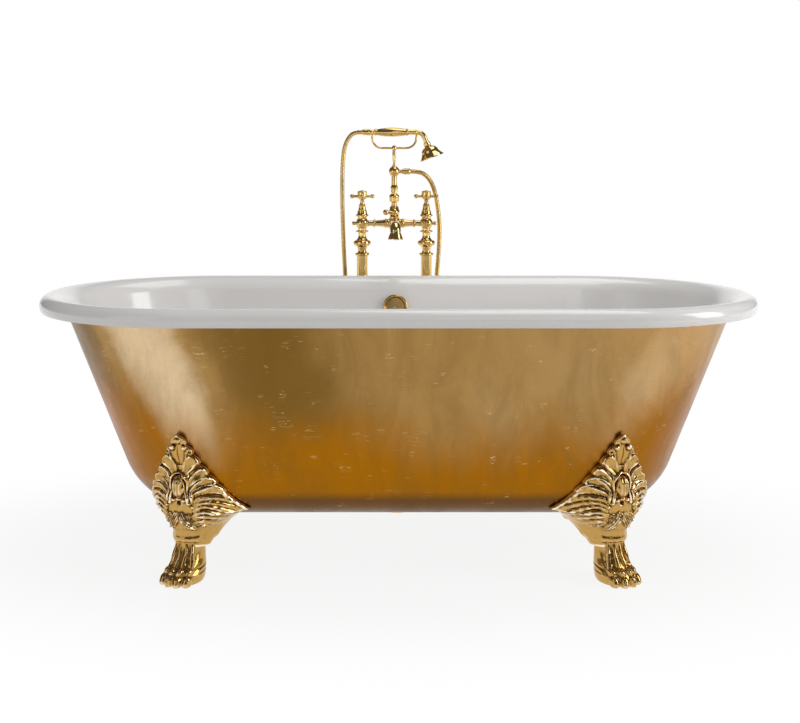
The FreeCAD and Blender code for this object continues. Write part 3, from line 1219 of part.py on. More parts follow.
hoseOuter, hoseInner = float(table.hoseRadius), float(table.hoseBore)
groove = hoseOuter - float(table.hoseGroove)
plainEnd = hoseOuter * 2
pitch = (hoseLength - plainEnd * 2) / ribCount
rings = [ringAt(0.0, hoseOuter)]
for rib in range(ribCount):
    start = plainEnd + pitch * rib
    for share, radius in zip(ribShares, (hoseOuter, groove, groove, hoseOuter)):
        rings.append(ringAt(start + pitch * share, radius))
rings.append(ringAt(hoseLength, hoseOuter))
bores = [ringAt(hoseLength * step / boreSteps, hoseInner) for step in range(boreSteps + 1)]
outerSkin = Part.makeLoft(rings, True, True)
innerSkin = Part.makeLoft(bores, True, True)
hoseShape = outerSkin.cut(innerSkin)
hose = doc.addObject("Part::Feature", "shower_hose")
hose.Shape = hoseShape
keep(hose, "shower_hose")
section = math.pi * (((hoseOuter + groove) / 2) ** 2 - hoseInner ** 2)
print("hose volume over section times length", round(hoseShape.Volume / (section * hoseLength), 3))

doc.recompute()
broken = [thing.Name for thing in doc.Objects if "Invalid" in thing.State or "Error" in thing.State]
for node in nodes:
    if node.Shape.isNull() or not node.Shape.isValid():
        broken.append(node.Label)
if broken:
    raise SystemExit(f"these pieces failed: {broken}")
os.makedirs("parts", exist_ok=True)
for node in nodes:
    node.Shape.exportStep(f"parts/{node.Label}.step")
print("pieces", len(nodes))
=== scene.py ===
import bpy
import json
import math
import numpy as np
from mathutils import Matrix, Vector


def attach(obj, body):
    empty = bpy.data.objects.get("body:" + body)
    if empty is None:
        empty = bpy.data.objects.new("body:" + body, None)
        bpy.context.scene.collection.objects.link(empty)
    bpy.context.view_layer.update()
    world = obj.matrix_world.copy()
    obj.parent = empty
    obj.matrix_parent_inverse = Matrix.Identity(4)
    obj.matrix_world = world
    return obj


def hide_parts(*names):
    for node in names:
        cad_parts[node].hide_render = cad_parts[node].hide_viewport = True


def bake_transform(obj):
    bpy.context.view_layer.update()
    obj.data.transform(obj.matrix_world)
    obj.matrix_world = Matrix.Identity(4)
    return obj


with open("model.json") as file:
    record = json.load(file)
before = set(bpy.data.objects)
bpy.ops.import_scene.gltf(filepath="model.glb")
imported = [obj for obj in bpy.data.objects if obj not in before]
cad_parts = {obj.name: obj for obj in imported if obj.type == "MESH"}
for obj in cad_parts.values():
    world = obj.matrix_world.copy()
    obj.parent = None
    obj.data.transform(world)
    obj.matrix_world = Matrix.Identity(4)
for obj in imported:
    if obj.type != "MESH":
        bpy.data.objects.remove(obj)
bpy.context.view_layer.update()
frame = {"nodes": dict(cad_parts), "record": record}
nodes = frame["nodes"]
bpy.ops.object.select_all(action="DESELECT")
scene = bpy.context.scene
print("frame loaded:", len(nodes), "nodes")

# camera, level and looking along +Y, with the frame moved down and to the right

cameraView = {
    "place": (-0.060, -2.829, 0.921), "lens": 51.75, "sensor": 36, "shiftX": 0.0339, "shiftY": -0.2478,
    "farthest": 50,
}


def makeCamera():
    bpy.ops.object.camera_add(location=cameraView["place"], rotation=(math.pi / 2, 0, 0))
    camera = bpy.context.object
    camera.name = "photoCamera"
    camera.data.lens = cameraView["lens"]
    camera.data.sensor_width = cameraView["sensor"]
    camera.data.shift_x = cameraView["shiftX"]
    camera.data.shift_y = cameraView["shiftY"]
    camera.data.clip_end = cameraView["farthest"]
    scene.camera = camera


makeCamera()
print("camera ready")


# small helpers for materials

def newMaterial(name):
    material = bpy.data.materials.new(name)
    material.use_nodes = True
    tree = material.node_tree
    shader = next(node for node in tree.nodes if node.type == "BSDF_PRINCIPLED")
    return material, tree, shader


def addNode(tree, kind, inputs=None, **settings):
    node = tree.nodes.new(kind)
    for key, value in settings.items():
        setattr(node, key, value)
    for key, value in (inputs or {}).items():
        if isinstance(value, bpy.types.NodeSocket):
            tree.links.new(value, node.inputs[key])
        else:
            node.inputs[key].default_value = value
    return node


def objectPoint(tree, scale=(1, 1, 1)):
    where = addNode(tree, "ShaderNodeTexCoord").outputs["Object"]
    return addNode(tree, "ShaderNodeMapping", {"Vector": where, "Scale": scale}).outputs["Vector"]


def noise(tree, point, scale, detail=4.0, rough=0.55, warp=0.0):
    node = addNode(tree, "ShaderNodeTexNoise", {
        "Vector": point, "Scale": scale, "Detail": detail, "Roughness": rough, "Distortion": warp})
    return node.outputs["Fac"]


def ramp(tree, value, low, high, start=0.0, end=1.0):
    node = addNode(tree, "ShaderNodeMapRange", {
        "Value": value, "From Min": low, "From Max": high, "To Min": start, "To Max": end},
        interpolation_type="SMOOTHSTEP")
    return node.outputs["Result"]


def calc(tree, operation, first, second=0.0):
    node = addNode(tree, "ShaderNodeMath", {0: first, 1: second}, operation=operation)
    return node.outputs[0]


def mixColour(tree, factor, first, second):
    node = addNode(tree, "ShaderNodeMix", {"Factor": factor}, data_type="RGBA")
    # the node's colour sockets have the numbers 6 and 7, and 2 for the result
    for index, value in ((6, first), (7, second)):
        if isinstance(value, bpy.types.NodeSocket):
            tree.links.new(value, node.inputs[index])
        else:
            node.inputs[index].default_value = value
    return node.outputs[2]


def bump(tree, height, strength, distance):
    node = addNode(tree, "ShaderNodeBump", {"Height": height, "Strength": strength, "Distance": distance})
    return node.outputs["Normal"]


# floor, world and lamps

studio = {
    "floorColour": (0.86, 0.855, 0.85, 1), "floorRough": 0.7, "floorSize": 80, "floorGlow": 0.88,
    "fillLight": 0.36, "roomShade": 0.10, "backdrop": 1.0, "backdropEdge": (0.80, 0.95),
    # how the shade round the bath is stretched, and where it fades to white
    "shadowScale": (1, 1.7, 1), "shadowReach": (0.7, 1.5),
    "lamps": [
        # name, place, aimed at, width and height, watts
        ("leftPanel", (-2.5, -2.4, 1.4), (-0.5, -0.2, 0.45), (1.9, 2.2), 11),
        ("rightPanel", (3.1, -0.9, 1.6), (0.5, -0.1, 0.5), (1.2, 2.0), 41),
        ("topPanel", (0.6, 0.2, 3.2), (0.0, 0.0, 0.4), (2.4, 1.4), 25),
        ("frontPanel", (0.9, -4.4, 2.4), (0.1, 0.0, 0.4), (1.5, 1.0), 6),
    ],
}


def makeStudio():
    bpy.ops.mesh.primitive_plane_add(size=studio["floorSize"], location=(0, 0, 0))
    floor = bpy.context.object
    floor.name = "studioFloor"
    material, tree, shader = newMaterial("paleFloor")
    shader.inputs["Base Color"].default_value = studio["floorColour"]
    shader.inputs["Roughness"].default_value = studio["floorRough"]
    # seen straight or mirrored, most of the floor is white, and its own shade is left near the bath
    rays = addNode(tree, "ShaderNodeLightPath")
    seen = calc(tree, "MAXIMUM", rays.outputs["Is Camera Ray"], rays.outputs["Is Transmission Ray"])
    seen = calc(tree, "MAXIMUM", seen, rays.outputs["Is Glossy Ray"])
    near = objectPoint(tree, scale=studio["shadowScale"])
    spread = addNode(tree, "ShaderNodeVectorMath", {0: near}, operation="LENGTH").outputs["Value"]
    white = ramp(tree, spread, *studio["shadowReach"], studio["floorGlow"], 1.0)
    glow = addNode(tree, "ShaderNodeEmission", {"Color": (1, 1, 1, 1), "Strength": 1.0})
    mixed = addNode(tree, "ShaderNodeMixShader", {
        0: calc(tree, "MULTIPLY", seen, white), 1: shader.outputs["BSDF"], 2: glow.outputs["Emission"]})
    out = next(node for node in tree.nodes if node.type == "OUTPUT_MATERIAL")
    tree.links.new(mixed.outputs[0], out.inputs["Surface"])
    floor.data.materials.append(material)
    world = bpy.data.worlds.new("studioWorld")
    scene.world = world
    world.use_nodes = True
    tree = world.node_tree
    background = next(node for node in tree.nodes if node.type == "BACKGROUND")
    background.inputs["Color"].default_value = (1, 1, 1, 1)
    rays = addNode(tree, "ShaderNodeLightPath")
    around = addNode(tree, "ShaderNodeTexCoord").outputs["Generated"]
    way = addNode(tree, "ShaderNodeSeparateXYZ", {0: around})
    # the white backdrop stands behind the bath, and the room on the camera's side is dimmer
    room = ramp(tree, way.outputs["Y"], *studio["backdropEdge"], studio["roomShade"], studio["backdrop"])
    mirrored = calc(tree, "MULTIPLY", rays.outputs["Is Glossy Ray"], room)
    fill = calc(tree, "MULTIPLY", rays.outputs["Is Diffuse Ray"], studio["fillLight"])
    straight = calc(tree, "MAXIMUM", rays.outputs["Is Camera Ray"], rays.outputs["Is Transmission Ray"])
    strength = calc(tree, "MAXIMUM", calc(tree, "MAXIMUM", mirrored, fill), straight)
    tree.links.new(strength, background.inputs["Strength"])
    for name, place, aim, size, watts in studio["lamps"]:
        bpy.ops.object.light_add(type="AREA", location=place)
        lamp = bpy.context.object
        lamp.name = name
        lamp.data.shape = "RECTANGLE"
        lamp.data.size, lamp.data.size_y = size
        lamp.data.energy = watts
        lamp.rotation_euler = (Vector(aim) - Vector(place)).to_track_quat("-Z", "Y").to_euler()
    scene.view_settings.view_transform = "Standard"


makeStudio()
print("studio ready")

# finishes

# most of a noise lies between these two
noiseRange = (0.3, 0.7)

ageing = {
    # size, detail, roughness and warp of the noise for clouds, upright streaks and grain
    "clouds": (3.2, 6.0, 0.6, 0.4), "streaks": (1.0, 6.0, 0.7, 0.6), "grain": (160.0, 3.0, 0.7),
    "streakScale": (13, 13, 4.0),
    # turn and stretch of each set of scratches, and the size of the patches that it stands in
    "scratches": [((0, 0.5, 0.2), (11, 11, 150), 24.0), ((0.1, -0.7, 0), (12, 12, 160), 27.0),
                  ((0, 1.25, 0.1), (10, 10, 140), 22.0), ((0.2, -1.9, 0), (12, 12, 150), 25.0)],
    "scratchWidth": 0.010, "patchEdge": (0.66, 0.73),
}


def agedSurface():
    # clouds, upright streaks, fine grain and short scratches, for every gilt or brass surface
    group = bpy.data.node_groups.new("agedSurface", "ShaderNodeTree")
    group.interface.new_socket("Point", in_out="INPUT", socket_type="NodeSocketVector")
    group.interface.new_socket("Scale", in_out="INPUT", socket_type="NodeSocketFloat")
    for name in ("Clouds", "Streaks", "Grain", "Scratches"):
        group.interface.new_socket(name, in_out="OUTPUT", socket_type="NodeSocketFloat")
    source, sink = group.nodes.new("NodeGroupInput"), group.nodes.new("NodeGroupOutput")
    point = addNode(group, "ShaderNodeVectorMath", {
        0: source.outputs["Point"], "Scale": source.outputs["Scale"]}, operation="SCALE").outputs["Vector"]

    def turned(turn, scale):
        node = addNode(group, "ShaderNodeMapping", {"Vector": point, "Rotation": turn, "Scale": scale})
        return node.outputs["Vector"]

    group.links.new(noise(group, point, *ageing["clouds"]), sink.inputs["Clouds"])
    streaks = noise(group, turned((0, 0, 0), ageing["streakScale"]), *ageing["streaks"])
    group.links.new(streaks, sink.inputs["Streaks"])
    group.links.new(noise(group, point, *ageing["grain"]), sink.inputs["Grain"])
    lines = None
    for turn, scale, patch in ageing["scratches"]:
        value = noise(group, turned(turn, scale), 1.0, 2.0, 0.5)
        off = calc(group, "ABSOLUTE", calc(group, "SUBTRACT", value, 0.5))
        line = ramp(group, off, 0.0, ageing["scratchWidth"], 1.0, 0.0)
        where = ramp(group, noise(group, turned(turn, (1, 1, 1)), patch, 1.0, 0.5), *ageing["patchEdge"])
        line = calc(group, "MULTIPLY", line, where)
        lines = line if lines is None else calc(group, "MAXIMUM", lines, line)
    group.links.new(lines, sink.inputs["Scratches"])
    return group


aged = agedSurface()


def agedNode(tree, scale):
    node = addNode(tree, "ShaderNodeGroup", node_tree=aged)
    tree.links.new(objectPoint(tree), node.inputs["Point"])
    node.inputs["Scale"].default_value = scale
    return node.outputs


gilding = {
    # amber is gold darkened with painted shade, a painted reflection of a darker floor; pale is a painted
    # highlight
    "amberShade": (0.375, 0.137, 0.003, 1), "pale": (0.74, 0.55, 0.33, 1), "middle": (0.40, 0.232, 0.075, 1),
    # olive is both the painted shade of the dark reflection bands and the colour of worn patches and specks
    "oliveShadeAndWear": (0.20, 0.106, 0.020, 1), "warmHighlight": (0.60, 0.33, 0.11, 1), "edge": (0.13, 0.058, 0.014, 1),
    "scratch": (0.80, 0.60, 0.28, 1), "smooth": 0.26, "dull": 0.40, "ageScale": 1.0,
    # place along the bath and the painted light there: 0 a painted dark reflection band, 1 a painted
    # highlight in the pale colour
    "paintedLightTones": [(-0.85, 0.0), (-0.70, 0.02), (-0.655, 0.15), (-0.61, 0.85), (-0.55, 1.0), (-0.48, 0.95),
              (-0.44, 0.50), (-0.40, 0.20), (-0.34, 0.06), (-0.26, 0.0), (-0.19, 0.08), (-0.13, 0.32),
              (0.0, 0.40), (0.12, 0.50), (0.25, 0.60), (0.44, 0.60), (0.49, 0.55), (0.55, 0.72),
              (0.62, 0.80), (0.68, 0.60), (0.76, 0.30), (0.85, 0.20)],
    # the painted highlights and dark bands lean outward with the walls: spread at the floor, and how much
    # less it is one metre up
    "spread": 1.45, "flare": 0.9,
    # height of the border between the amber painted shade below and the painted-light tones above, and its
    # climb from and to a place along the bath
    "border": (0.25, 0.42), "climb": (0.40, 0.62), "climbHeight": 0.10,
    # how much the clouds move the painted highlights and dark bands along the bath, change them, and move the
    # border
    "cloudAlong": 0.14, "cloudTone": 0.30, "cloudBorder": 0.26,
    # where along the bath the warm painted highlight comes in, and its share; heights over which the painted
    # shade along the bottom edge fades, and its share
    "warmHighlightEnd": (0.40, 0.66), "warmHighlightShare": 0.65, "bottomShadeEdge": (0.172, 0.202), "bottomShadeShare": 0.9,
    "wornEdge": (0.75, 1.15), "wornClouds": 0.8, "wornShare": 0.30, "speckEdge": (0.60, 0.72),
    "speckShare": 0.25, "scratchShare": 0.7, "scratchShine": 0.12,
    # upward slope at which a face counts as the casting's inner side
    "innerSide": (0.02, 0.06),
    # share of grain and scratches in the relief, then its strength and depth
    "grainRelief": 0.35, "scratchRelief": 0.6, "relief": (0.25, 0.0012),
}


# painted light along the bath: a ramp from painted dark reflection bands to painted highlights
def paintedLightAlong(tree, distance):
    paintedLightTones = gilding["paintedLightTones"]
    first, last = paintedLightTones[0][0], paintedLightTones[-1][0]
    place = addNode(tree, "ShaderNodeMapRange", {"Value": distance, "From Min": first, "From Max": last})
    curve = addNode(tree, "ShaderNodeValToRGB", {"Fac": place.outputs["Result"]})
    stops = curve.color_ramp
    stops.interpolation = "B_SPLINE"
    while len(stops.elements) < len(paintedLightTones):
        stops.elements.new(0.5)
    for stop, (spot, paintedTone) in zip(stops.elements, paintedLightTones):
        stop.position = (spot - first) / (last - first)
        stop.color = (paintedTone, paintedTone, paintedTone, 1)
    return curve.outputs["Color"]


def makeGilding():
    material, tree, shader = newMaterial("agedGoldLeaf")
    marks = agedNode(tree, gilding["ageScale"])
    place = addNode(tree, "ShaderNodeSeparateXYZ", {0: objectPoint(tree)})
    cloud = calc(tree, "SUBTRACT", marks["Clouds"], 0.5)
    # painted highlights and painted dark reflection bands along the bath, broken up by the clouds
    lean = calc(tree, "MULTIPLY", place.outputs["Z"], gilding["flare"])
    spread = calc(tree, "MULTIPLY", place.outputs["X"], calc(tree, "SUBTRACT", gilding["spread"], lean))
    spread = calc(tree, "ADD", spread, calc(tree, "MULTIPLY", cloud, gilding["cloudAlong"]))
    paintedTone = calc(tree, "ADD", paintedLightAlong(tree, spread), calc(tree, "MULTIPLY", cloud, gilding["cloudTone"]))
    # painted tone to colour: olive for the painted dark bands, then middle, then pale for the painted
    # highlights
    upper = mixColour(tree, ramp(tree, paintedTone, 0.0, 0.5), gilding["oliveShadeAndWear"], gilding["middle"])
    upper = mixColour(tree, ramp(tree, paintedTone, 0.5, 1.0), upper, gilding["pale"])
    # a warmer painted highlight towards the right end of the bath
    warmHighlightMask = ramp(tree, place.outputs["X"], *gilding["warmHighlightEnd"], 0.0, gilding["warmHighlightShare"])
    upper = mixColour(tree, warmHighlightMask, upper, gilding["warmHighlight"])
    # painted shade below, amber like a reflection of a darker floor, and paler painted light above, with a
    # cloudy border between that climbs at both ends
    level = calc(tree, "ADD", place.outputs["Z"], calc(tree, "MULTIPLY", cloud, gilding["cloudBorder"]))
    fromMiddle = calc(tree, "ABSOLUTE", place.outputs["X"])
    ends = ramp(tree, fromMiddle, *gilding["climb"], 0.0, gilding["climbHeight"])
    level = calc(tree, "SUBTRACT", level, ends)
    colour = mixColour(tree, ramp(tree, level, *gilding["border"]), gilding["amberShade"], upper)
    worn = calc(tree, "MULTIPLY", marks["Clouds"], gilding["wornClouds"])
    worn = calc(tree, "ADD", marks["Streaks"], worn)
    worn = ramp(tree, worn, *gilding["wornEdge"], 0.0, gilding["wornShare"])
    colour = mixColour(tree, worn, colour, gilding["oliveShadeAndWear"])
    # painted shade: a dark brown band along the rounded bottom edge, a painted reflection of a darker floor
    bottomShade = ramp(tree, place.outputs["Z"], *gilding["bottomShadeEdge"], gilding["bottomShadeShare"], 0.0)
    colour = mixColour(tree, bottomShade, colour, gilding["edge"])
    specks = ramp(tree, marks["Grain"], *gilding["speckEdge"], 0.0, gilding["speckShare"])
    colour = mixColour(tree, specks, colour, gilding["oliveShadeAndWear"])
    scratches = calc(tree, "MULTIPLY", marks["Scratches"], gilding["scratchShare"])
    colour = mixColour(tree, scratches, colour, gilding["scratch"])
    # the casting's inner side is white, so that no gold shows where its facets reach through the enamel's
    facing = addNode(tree, "ShaderNodeNewGeometry").outputs["True Normal"]
    upward = addNode(tree, "ShaderNodeSeparateXYZ", {0: facing}).outputs["Z"]
    inner = ramp(tree, upward, *gilding["innerSide"])
    colour = mixColour(tree, inner, colour, whiteEnamel["body"])
    tree.links.new(colour, shader.inputs["Base Color"])
    tree.links.new(calc(tree, "SUBTRACT", 1.0, inner), shader.inputs["Metallic"])
    rough = ramp(tree, marks["Streaks"], *noiseRange, gilding["smooth"], gilding["dull"])
    shine = calc(tree, "MULTIPLY", marks["Scratches"], gilding["scratchShine"])
    tree.links.new(calc(tree, "SUBTRACT", rough, shine), shader.inputs["Roughness"])
    grain = calc(tree, "MULTIPLY", marks["Grain"], gilding["grainRelief"])
    scored = calc(tree, "MULTIPLY", marks["Scratches"], gilding["scratchRelief"])
    relief = calc(tree, "ADD", calc(tree, "ADD", grain, scored), marks["Streaks"])
    tree.links.new(bump(tree, relief, *gilding["relief"]), shader.inputs["Normal"])
    return material


castGold = {
    # the groove colour is painted shade in the carving's hollows and also the colour of tarnish streaks; the
    # ridge colour is a painted highlight
    "groove": (0.10, 0.042, 0.008, 1), "middle": (0.56, 0.335, 0.095, 1), "ridgeHighlight": (1.0, 0.88, 0.64, 1),
    "smooth": 0.12, "dull": 0.36, "ageScale": 2.2,
    # heights of the relief, 0 to 1, between which the painted shade of the grooves, the middle and the
    # painted highlight of the ridges, and dull and smooth, change
    "grooveEdge": (0.20, 0.50), "ridgeEdge": (0.54, 0.80), "smoothEdge": (0.25, 0.65),
    "cloudShare": 0.16, "streakEdge": (0.55, 0.75), "streakShare": 0.30, "grain": (0.12, 0.0006),
}


def makeCastGold():
    material, tree, shader = newMaterial("polishedCastGold")
    marks = agedNode(tree, castGold["ageScale"])
    relief = addNode(tree, "ShaderNodeAttribute", attribute_name="relief").outputs["Fac"]
    cloud = calc(tree, "SUBTRACT", marks["Clouds"], 0.5)
    relief = calc(tree, "ADD", relief, calc(tree, "MULTIPLY", cloud, castGold["cloudShare"]))
    # painted shade in the hollows and painted highlights on the ridges, by how far each point stands out
    raised = ramp(tree, relief, *castGold["grooveEdge"])
    colour = mixColour(tree, raised, castGold["groove"], castGold["middle"])
    colour = mixColour(tree, ramp(tree, relief, *castGold["ridgeEdge"]), colour, castGold["ridgeHighlight"])
    streaks = ramp(tree, marks["Streaks"], *castGold["streakEdge"], 0.0, castGold["streakShare"])
    colour = mixColour(tree, streaks, colour, castGold["groove"])
    tree.links.new(colour, shader.inputs["Base Color"])
    shader.inputs["Metallic"].default_value = 1.0
    rough = ramp(tree, relief, *castGold["smoothEdge"], castGold["dull"], castGold["smooth"])
    tree.links.new(rough, shader.inputs["Roughness"])
    tree.links.new(bump(tree, marks["Grain"], *castGold["grain"]), shader.inputs["Normal"])
    return material


polishedBrass = {
    "bright": (0.82, 0.57, 0.22, 1), "tarnish": (0.42, 0.22, 0.05, 1), "stainEdge": (0.46, 0.68),
    "scratchRough": 0.08, "grain": (0.05, 0.0004), "ageScale": 4.0,
    # roughness from and to, and share of tarnish, on the fittings and on the hose
    "fittings": (0.07, 0.20, 0.55), "hose": (0.18, 0.30, 0.6),
}


def makeBrass(name, smooth, dull, tarnish):
    material, tree, shader = newMaterial(name)
    marks = agedNode(tree, polishedBrass["ageScale"])
    stain = ramp(tree, marks["Clouds"], *polishedBrass["stainEdge"], 0.0, tarnish)
    colour = mixColour(tree, stain, polishedBrass["bright"], polishedBrass["tarnish"])
    tree.links.new(colour, shader.inputs["Base Color"])
    shader.inputs["Metallic"].default_value = 1.0
    rough = ramp(tree, marks["Clouds"], *noiseRange, smooth, dull)
    scratches = calc(tree, "MULTIPLY", marks["Scratches"], polishedBrass["scratchRough"])
    tree.links.new(calc(tree, "ADD", rough, scratches), shader.inputs["Roughness"])
    tree.links.new(bump(tree, marks["Grain"], *polishedBrass["grain"]), shader.inputs["Normal"])
    return material


whiteEnamel = {
    "body": (0.84, 0.822, 0.805, 1), "shade": (0.76, 0.742, 0.722, 1), "smooth": 0.128, "dull": 0.20,
    # size and detail of each noise, where it starts and is full, and its share
    "clouds": (2.4, 4.0), "cloudEdge": (0.35, 0.7), "cloudShare": 0.35,
    "specks": (240.0, 2.0), "speckEdge": (0.66, 0.74), "speckShare": 0.12, "coat": 0.35, "coatRough": 0.06,
    # the slight orange peel of a glaze poured by hand: its noise, then its strength and depth
    "peelNoise": (34.0, 2.0), "peel": (0.06, 0.002),
}


def makeEnamel():
    material, tree, shader = newMaterial("firedEnamel")
    point = objectPoint(tree)
    cloud = noise(tree, point, *whiteEnamel["clouds"])
    shade = ramp(tree, cloud, *whiteEnamel["cloudEdge"], 0.0, whiteEnamel["cloudShare"])
    colour = mixColour(tree, shade, whiteEnamel["body"], whiteEnamel["shade"])
    specks = noise(tree, point, *whiteEnamel["specks"])
    specks = ramp(tree, specks, *whiteEnamel["speckEdge"], 0.0, whiteEnamel["speckShare"])
    colour = mixColour(tree, specks, colour, whiteEnamel["shade"])
    tree.links.new(colour, shader.inputs["Base Color"])
    rough = ramp(tree, cloud, *noiseRange, whiteEnamel["smooth"], whiteEnamel["dull"])
    tree.links.new(rough, shader.inputs["Roughness"])
    shader.inputs["Coat Weight"].default_value = whiteEnamel["coat"]
    shader.inputs["Coat Roughness"].default_value = whiteEnamel["coatRough"]
    peel = noise(tree, point, *whiteEnamel["peelNoise"])
    tree.links.new(bump(tree, peel, *whiteEnamel["peel"]), shader.inputs["Normal"])
    return material


blackRubber = {
    "dark": (0.012, 0.012, 0.012, 1), "pale": (0.05, 0.05, 0.048, 1), "smooth": 0.55, "dull": 0.8,
    "grain": (320.0, 3.0),
}


def makeRubber():
    material, tree, shader = newMaterial("blackRubber")
    grain = noise(tree, objectPoint(tree), *blackRubber["grain"])
    colour = mixColour(tree, grain, blackRubber["dark"], blackRubber["pale"])
    tree.links.new(colour, shader.inputs["Base Color"])
    rough = ramp(tree, grain, *noiseRange, blackRubber["smooth"], blackRubber["dull"])
    tree.links.new(rough, shader.inputs["Roughness"])
    return material


zincSteel = {
    "bright": (0.60, 0.60, 0.62, 1), "grey": (0.36, 0.36, 0.37, 1), "smooth": 0.28, "dull": 0.5,
    "ageScale": 8.0,
}


def makeZinc():
    material, tree, shader = newMaterial("zincSteel")
    marks = agedNode(tree, zincSteel["ageScale"])
    colour = mixColour(tree, marks["Clouds"], zincSteel["bright"], zincSteel["grey"])
    tree.links.new(colour, shader.inputs["Base Color"])
    shader.inputs["Metallic"].default_value = 1.0
    rough = ramp(tree, marks["Grain"], *noiseRange, zincSteel["smooth"], zincSteel["dull"])
    tree.links.new(rough, shader.inputs["Roughness"])
    return material


goldLeaf = makeGilding()
footGold = makeCastGold()
brass = makeBrass("polishedBrass", *polishedBrass["fittings"])
hoseBrass = makeBrass("hoseBrass", *polishedBrass["hose"])
enamel = makeEnamel()
rubber = makeRubber()
zinc = makeZinc()
slotFinish = {"casting": goldLeaf, "enamel": enamel, "feet": footGold, "fasteners": zinc, "rubber": rubber,
              "brass": brass, "hose": hoseBrass}


def dressNodes():
    for part in frame["record"]["subparts"]:
        node = nodes[part["node"]]
        node.data.materials.clear()
        node.data.materials.append(slotFinish[part["material_slot"]])


dressNodes()
print("finishes ready")

# hose: a ribbed tube on a smooth line along the route's points, hung in a loop behind the pillars

hoseFit = {
    # both ends in metres, and the route from each in millimetres
    "outlet": (0.045, 0.405, 0.8978), "handset": (-0.090, 0.405, 1.0082),
    "fromOutlet": [(25, 0, 0), (47, 4, -12), (64, 20, -37), (74, 38, -70), (81, 46, -108), (86, 50, -163),
                   (82, 53, -250), (71.5, 54, -362), (54, 54, -470), (22, 54, -552), (-30, 54, -594)],
    "fromHandset": [(-22, 0, 0), (-39, 0, -16), (-50.5, 0, -44), (-55, 1, -87), (-56.5, 4, -142),
                    (-56, 10, -210), (-53.5, 20, -305), (-48, 32, -415), (-41.5, 44, -525),
                    (-26, 52, -618), (12, 54, -681), (59, 54, -706)],
    "radius": 0.0063, "groove": 0.0005, "ribs": 400, "sides": 18, "plainEnd": 0.012, "length": 1.4998,
    "shoulder": 0.2, "lineSteps": 40, "smoothAngle": 60,
    # two points at the bottom of the loop
    "stillBelow": (-0.078, 0.459, 0.327), "movesAbove": (-0.215, 0.459, 0.354),
}


def hoseLine():
    outlet, handset = Vector(hoseFit["outlet"]), Vector(hoseFit["handset"])
    points = [outlet] + [outlet + Vector(step) / 1000 for step in hoseFit["fromOutlet"]]
    points += [handset + Vector(step) / 1000 for step in reversed(hoseFit["fromHandset"])] + [handset]
    curve = bpy.data.curves.new("hoseLine", "CURVE")
    curve.dimensions = "3D"
    curve.resolution_u = hoseFit["lineSteps"]
    spline = curve.splines.new("NURBS")
    spline.points.add(len(points) - 1)
    for spot, point in zip(spline.points, points):
        spot.co = (*point, 1)
    spline.order_u = 3
    spline.use_endpoint_u = True
    holder = bpy.data.objects.new("hoseLine", curve)
    scene.collection.objects.link(holder)
    mesh = bpy.data.meshes.new_from_object(holder)
    line = np.array([vertex.co for vertex in mesh.vertices])
    bpy.data.objects.remove(holder)
    bpy.data.meshes.remove(mesh)
    return line


def along(line, count):
    # evenly spaced points on a line, with the distance of each from its start
    steps = np.linalg.norm(np.diff(line, axis=0), axis=1)
    run = np.concatenate(([0], np.cumsum(steps)))
    spots = np.linspace(0, run[-1], count)
    return np.stack([np.interp(spots, run, line[:, axis]) for axis in range(3)], axis=1), spots


def makeHose():
    line = hoseLine()
    # four rings to a rib: a groove, a shoulder, the crown and a shoulder
    rings = hoseFit["ribs"] * 4
    path, spots = along(line, rings + 1)
    tangent = np.gradient(path, axis=0)
    tangent /= np.linalg.norm(tangent, axis=1)[:, None]
    side = np.cross(tangent, (0, 1, 0))
    side /= np.linalg.norm(side, axis=1)[:, None]
    lift = np.cross(side, tangent)
    depth = hoseFit["groove"] * (np.arange(rings + 1) % 4 == 0)
    depth += hoseFit["groove"] * hoseFit["shoulder"] * (np.arange(rings + 1) % 2 == 1)
    plain = (spots < hoseFit["plainEnd"]) | (spots > spots[-1] - hoseFit["plainEnd"])
    radius = np.where(plain, hoseFit["radius"], hoseFit["radius"] - depth)
    sides = hoseFit["sides"]
    angles = np.arange(sides) * 2 * math.pi / sides
    ring = np.cos(angles)[None, :, None] * side[:, None] + np.sin(angles)[None, :, None] * lift[:, None]
    points = path[:, None] + ring * radius[:, None, None]
    bpy.ops.mesh.primitive_cylinder_add(vertices=sides, radius=hoseFit["radius"], depth=hoseFit["length"])
    hose = bpy.context.object
    hose.name = "showerHose"
    faces = [(row * sides + turn, row * sides + (turn + 1) % sides, (row + 1) * sides + (turn + 1) % sides,
              (row + 1) * sides + turn) for row in range(rings) for turn in range(sides)]
    faces.append(tuple(reversed(range(sides))))
    faces.append(tuple(rings * sides + turn for turn in range(sides)))
    mesh = bpy.data.meshes.new("showerHose")
    mesh.from_pydata(points.reshape(-1, 3).tolist(), [], faces)
    mesh.validate()
    hose.data = mesh
    hose.matrix_world = Matrix.Identity(4)
    bpy.ops.object.mode_set(mode="EDIT")
    bpy.ops.mesh.select_all(action="SELECT")
    bpy.ops.mesh.normals_make_consistent(inside=False)
    bpy.ops.object.mode_set(mode="OBJECT")
    bpy.ops.object.shade_smooth_by_angle(angle=math.radians(hoseFit["smoothAngle"]))
    hose.data.materials.append(hoseBrass)
    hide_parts("shower_hose")
    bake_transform(hose)
    bpy.ops.object.select_all(action="DESELECT")


makeHose()
print("hose hung")

# claw feet: a leaf plate carved on a grid that lies on the bath's wall, over a paw melted from rounds

